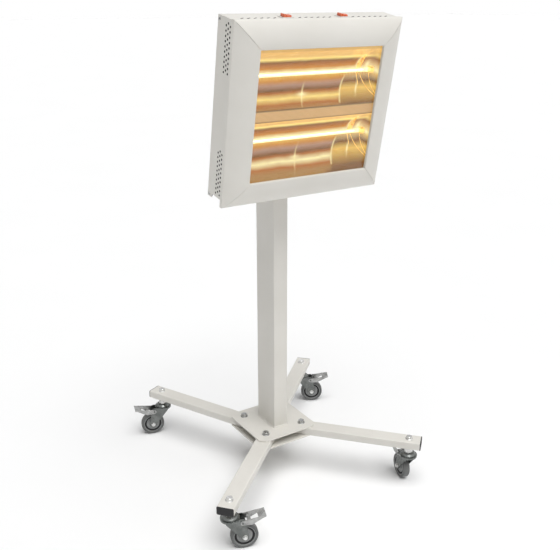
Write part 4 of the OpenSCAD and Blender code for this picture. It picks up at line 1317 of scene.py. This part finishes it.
def make_axle(corner):
    """Axle bolt: a shank, with a washer and a hexagon at each end."""
    name = "axle_" + corner
    caster = caster_place(corner)
    centre = caster.local(joints["wheel_spin_" + corner]["pos_m"])
    head_h = 5 * MM
    leg = local_box(caster, name)[1][1] - head_h
    parts = []
    for side in (-1.0, 1.0):
        place = Place(caster.world(centre + [0, side * leg, 0]), caster.axes[0],
                      side * caster.axes[1])
        parts.append(turned(place, ((0, 0), (7.2 * MM, 0), (7.4 * MM, 0.3 * MM),
                                    (7.0 * MM, 1.0 * MM), (0, 1.0 * MM)), 40))
        parts.append(hex_head(place.moved(z=0.8 * MM), 11.4 * MM, head_h - 0.8 * MM))
    shank = Place(caster.world(centre), caster.axes[0], caster.axes[1])
    parts.append(turned(shank, ((0, -leg), (4 * MM, -leg), (4 * MM, leg), (0, leg)), 32))
    add_piece(name + "_formed", joined(parts), "swivel_" + corner, BRIGHT_ZINC, (name,))


# ------------------------------------------------------------------ stage

CAMERA_AT = (-1.200, -1.908, 1.472)
CAMERA_DOWN = 19.6          # degrees below level
CAMERA_TURN = 32.8          # degrees to the right of straight on
CAMERA_LENS = 49.9          # mm, on a sensor 36 mm wide


def make_camera():
    """The camera, level from side to side, in front of the stand's left and looking down at it."""
    data = bpy.data.cameras.new("camera")
    data.lens = CAMERA_LENS
    data.sensor_width = 36.0
    item = bpy.data.objects.new("camera", data)
    item.location = CAMERA_AT
    item.rotation_euler = (math.radians(90 - CAMERA_DOWN), 0, math.radians(-CAMERA_TURN))
    bpy.context.scene.collection.objects.link(item)
    bpy.context.scene.camera = item


FILL = 0.17                 # light of the white surround on matt surfaces
MIRRORED_HORIZON = 0.30     # brightness at the horizon that shiny surfaces mirror
KEY_FROM = (-0.06, -0.36, 0.95)
KEY_STRENGTH = 2.8
KEY_SPREAD = 50.0           # width of the key light, in degrees
SIDE_FROM = (0.80, -0.50, 0.35)
SIDE_STRENGTH = 0.65
SIDE_SPREAD = 90.0          # width of the side light, in degrees


def sun_light(name, source, strength, spread):
    """A broad even light from the direction of source."""
    data = bpy.data.lights.new(name, "SUN")
    data.energy = strength
    data.angle = math.radians(spread)
    item = bpy.data.objects.new(name, data)
    back = unit(source)
    right = unit(np.cross([0, 1, 0], back))
    matrix = np.eye(4)
    matrix[:3, :3] = np.array([right, np.cross(back, right), back]).T
    matrix[:3, 3] = 3 * back
    item.matrix_world = matrix.T.tolist()
    bpy.context.scene.collection.objects.link(item)


def make_stage():
    """A plain pale floor, an even white surround and soft studio lights."""
    half = 60.0
    points = np.array([[-half, -half, 0], [half, -half, 0], [half, half, 0], [-half, half, 0.0]])
    mesh = bpy.data.meshes.new("floor")
    mesh.from_pydata(points.tolist(), [], [(0, 1, 2, 3)])
    material, tree, shader = start_material("pale_floor", Roughness=0.9)
    tone = mix_colours(tree, noise_node(tree, 1.5, 2.0), (0.90, 0.90, 0.90), (0.92, 0.92, 0.92))
    tree.links.new(tone, shader.inputs["Base Color"])
    mesh.materials.append(material)
    floor = bpy.data.objects.new("floor", mesh)
    bpy.context.scene.collection.objects.link(floor)
    world = bpy.data.worlds.new("surround")
    world.use_nodes = True
    tree = world.node_tree
    background = tree.nodes["Background"]
    background.inputs["Color"].default_value = (1.0, 1.0, 1.0, 1.0)
    path = tree.nodes.new("ShaderNodeLightPath")
    strength = ranged(tree, path.outputs["Is Diffuse Ray"], 0.0, 1.0, 1.0, FILL)
    tree.links.new(strength, background.inputs["Strength"])
    towards = tree.nodes.new("ShaderNodeSeparateXYZ")
    tree.links.new(tree.nodes.new("ShaderNodeNewGeometry").outputs["Incoming"],
                   towards.inputs["Vector"])
    sky = ranged(tree, towards.outputs["Z"], -0.8, 0.0, 1.1, MIRRORED_HORIZON)
    grey = tree.nodes.new("ShaderNodeCombineColor")
    for channel in ("Red", "Green", "Blue"):
        tree.links.new(sky, grey.inputs[channel])
    tree.links.new(mix_colours(tree, path.outputs["Is Glossy Ray"], (1.0, 1.0, 1.0),
                               grey.outputs["Color"]), background.inputs["Color"])
    bpy.context.scene.world = world
    sun_light("key", KEY_FROM, KEY_STRENGTH, KEY_SPREAD)
    sun_light("side", SIDE_FROM, SIDE_STRENGTH, SIDE_SPREAD)
    scene = bpy.context.scene
    scene.view_settings.view_transform = "Standard"
    scene.view_settings.look = "None"


SOFTENED = (
    ("base_plate_top", 0.9 * MM, "stand", STAND_PAINT, "stand_paint"),
    ("base_plate_bottom", 0.9 * MM, "stand", STAND_PAINT, "stand_paint"),
    ("column_cap", 1.2 * MM, "stand", BLACK, "black_plastic"),
    ("tilt_fork", 0.9 * MM, "stand", STAND_PAINT, "stand_paint"),
    ("head_bracket", 0.7 * MM, "head", STAND_PAINT, "stand_paint"),
    ("housing_shell", 0.5 * MM, "head", HEAD_PAINT, "head_paint"),
    ("housing_top", 0.5 * MM, "head", HEAD_PAINT, "head_paint"),
    ("side_panel_left", 0.5 * MM, "head", HEAD_PAINT, "head_paint"),
    ("side_panel_right", 0.5 * MM, "head", HEAD_PAINT, "head_paint"),
    ("switch_bodies", 0.5 * MM, "head", PALE_PLASTIC, "black_plastic"),
    ("cable_gland", 0.5 * MM, "head", BLACK, "black_plastic"),
)


def make_head():
    """Everything on the head."""
    make_bezel()
    troughs = [make_trough("reflector_upper", "lamp_upper", UPPER_GOLD_PAINTED_GLOW),
               make_trough("reflector_lower", "lamp_lower", LOWER_GOLD_PAINTED_GLOW)]
    make_centre_strip()
    make_lamp("lamp_upper")
    make_lamp("lamp_lower")
    make_holders(troughs)
    make_shade_sheets()
    make_rocker("left")
    make_rocker("right")
    make_screws()


def make_stand():
    """Bolts, weld, plugs and casters."""
    make_hub_bolts()
    make_tilt_bolt()
    make_weld()
    for corner in CORNERS:
        make_arm_plug(corner)
        make_stem(corner)
        make_wheel(corner)
        make_axle(corner)
        softened("caster_fork_" + corner, 0.7 * MM, "swivel_" + corner, DARK_ZINC)
        softened("pedal_" + corner, 0.5 * MM, "pedal_" + corner, ZINC)


make_camera()
make_stage()
dress_cad_nodes()
make_head()
make_stand()
for name, width, body, finish, slot in SOFTENED:
    softened(name, width, body, finish)
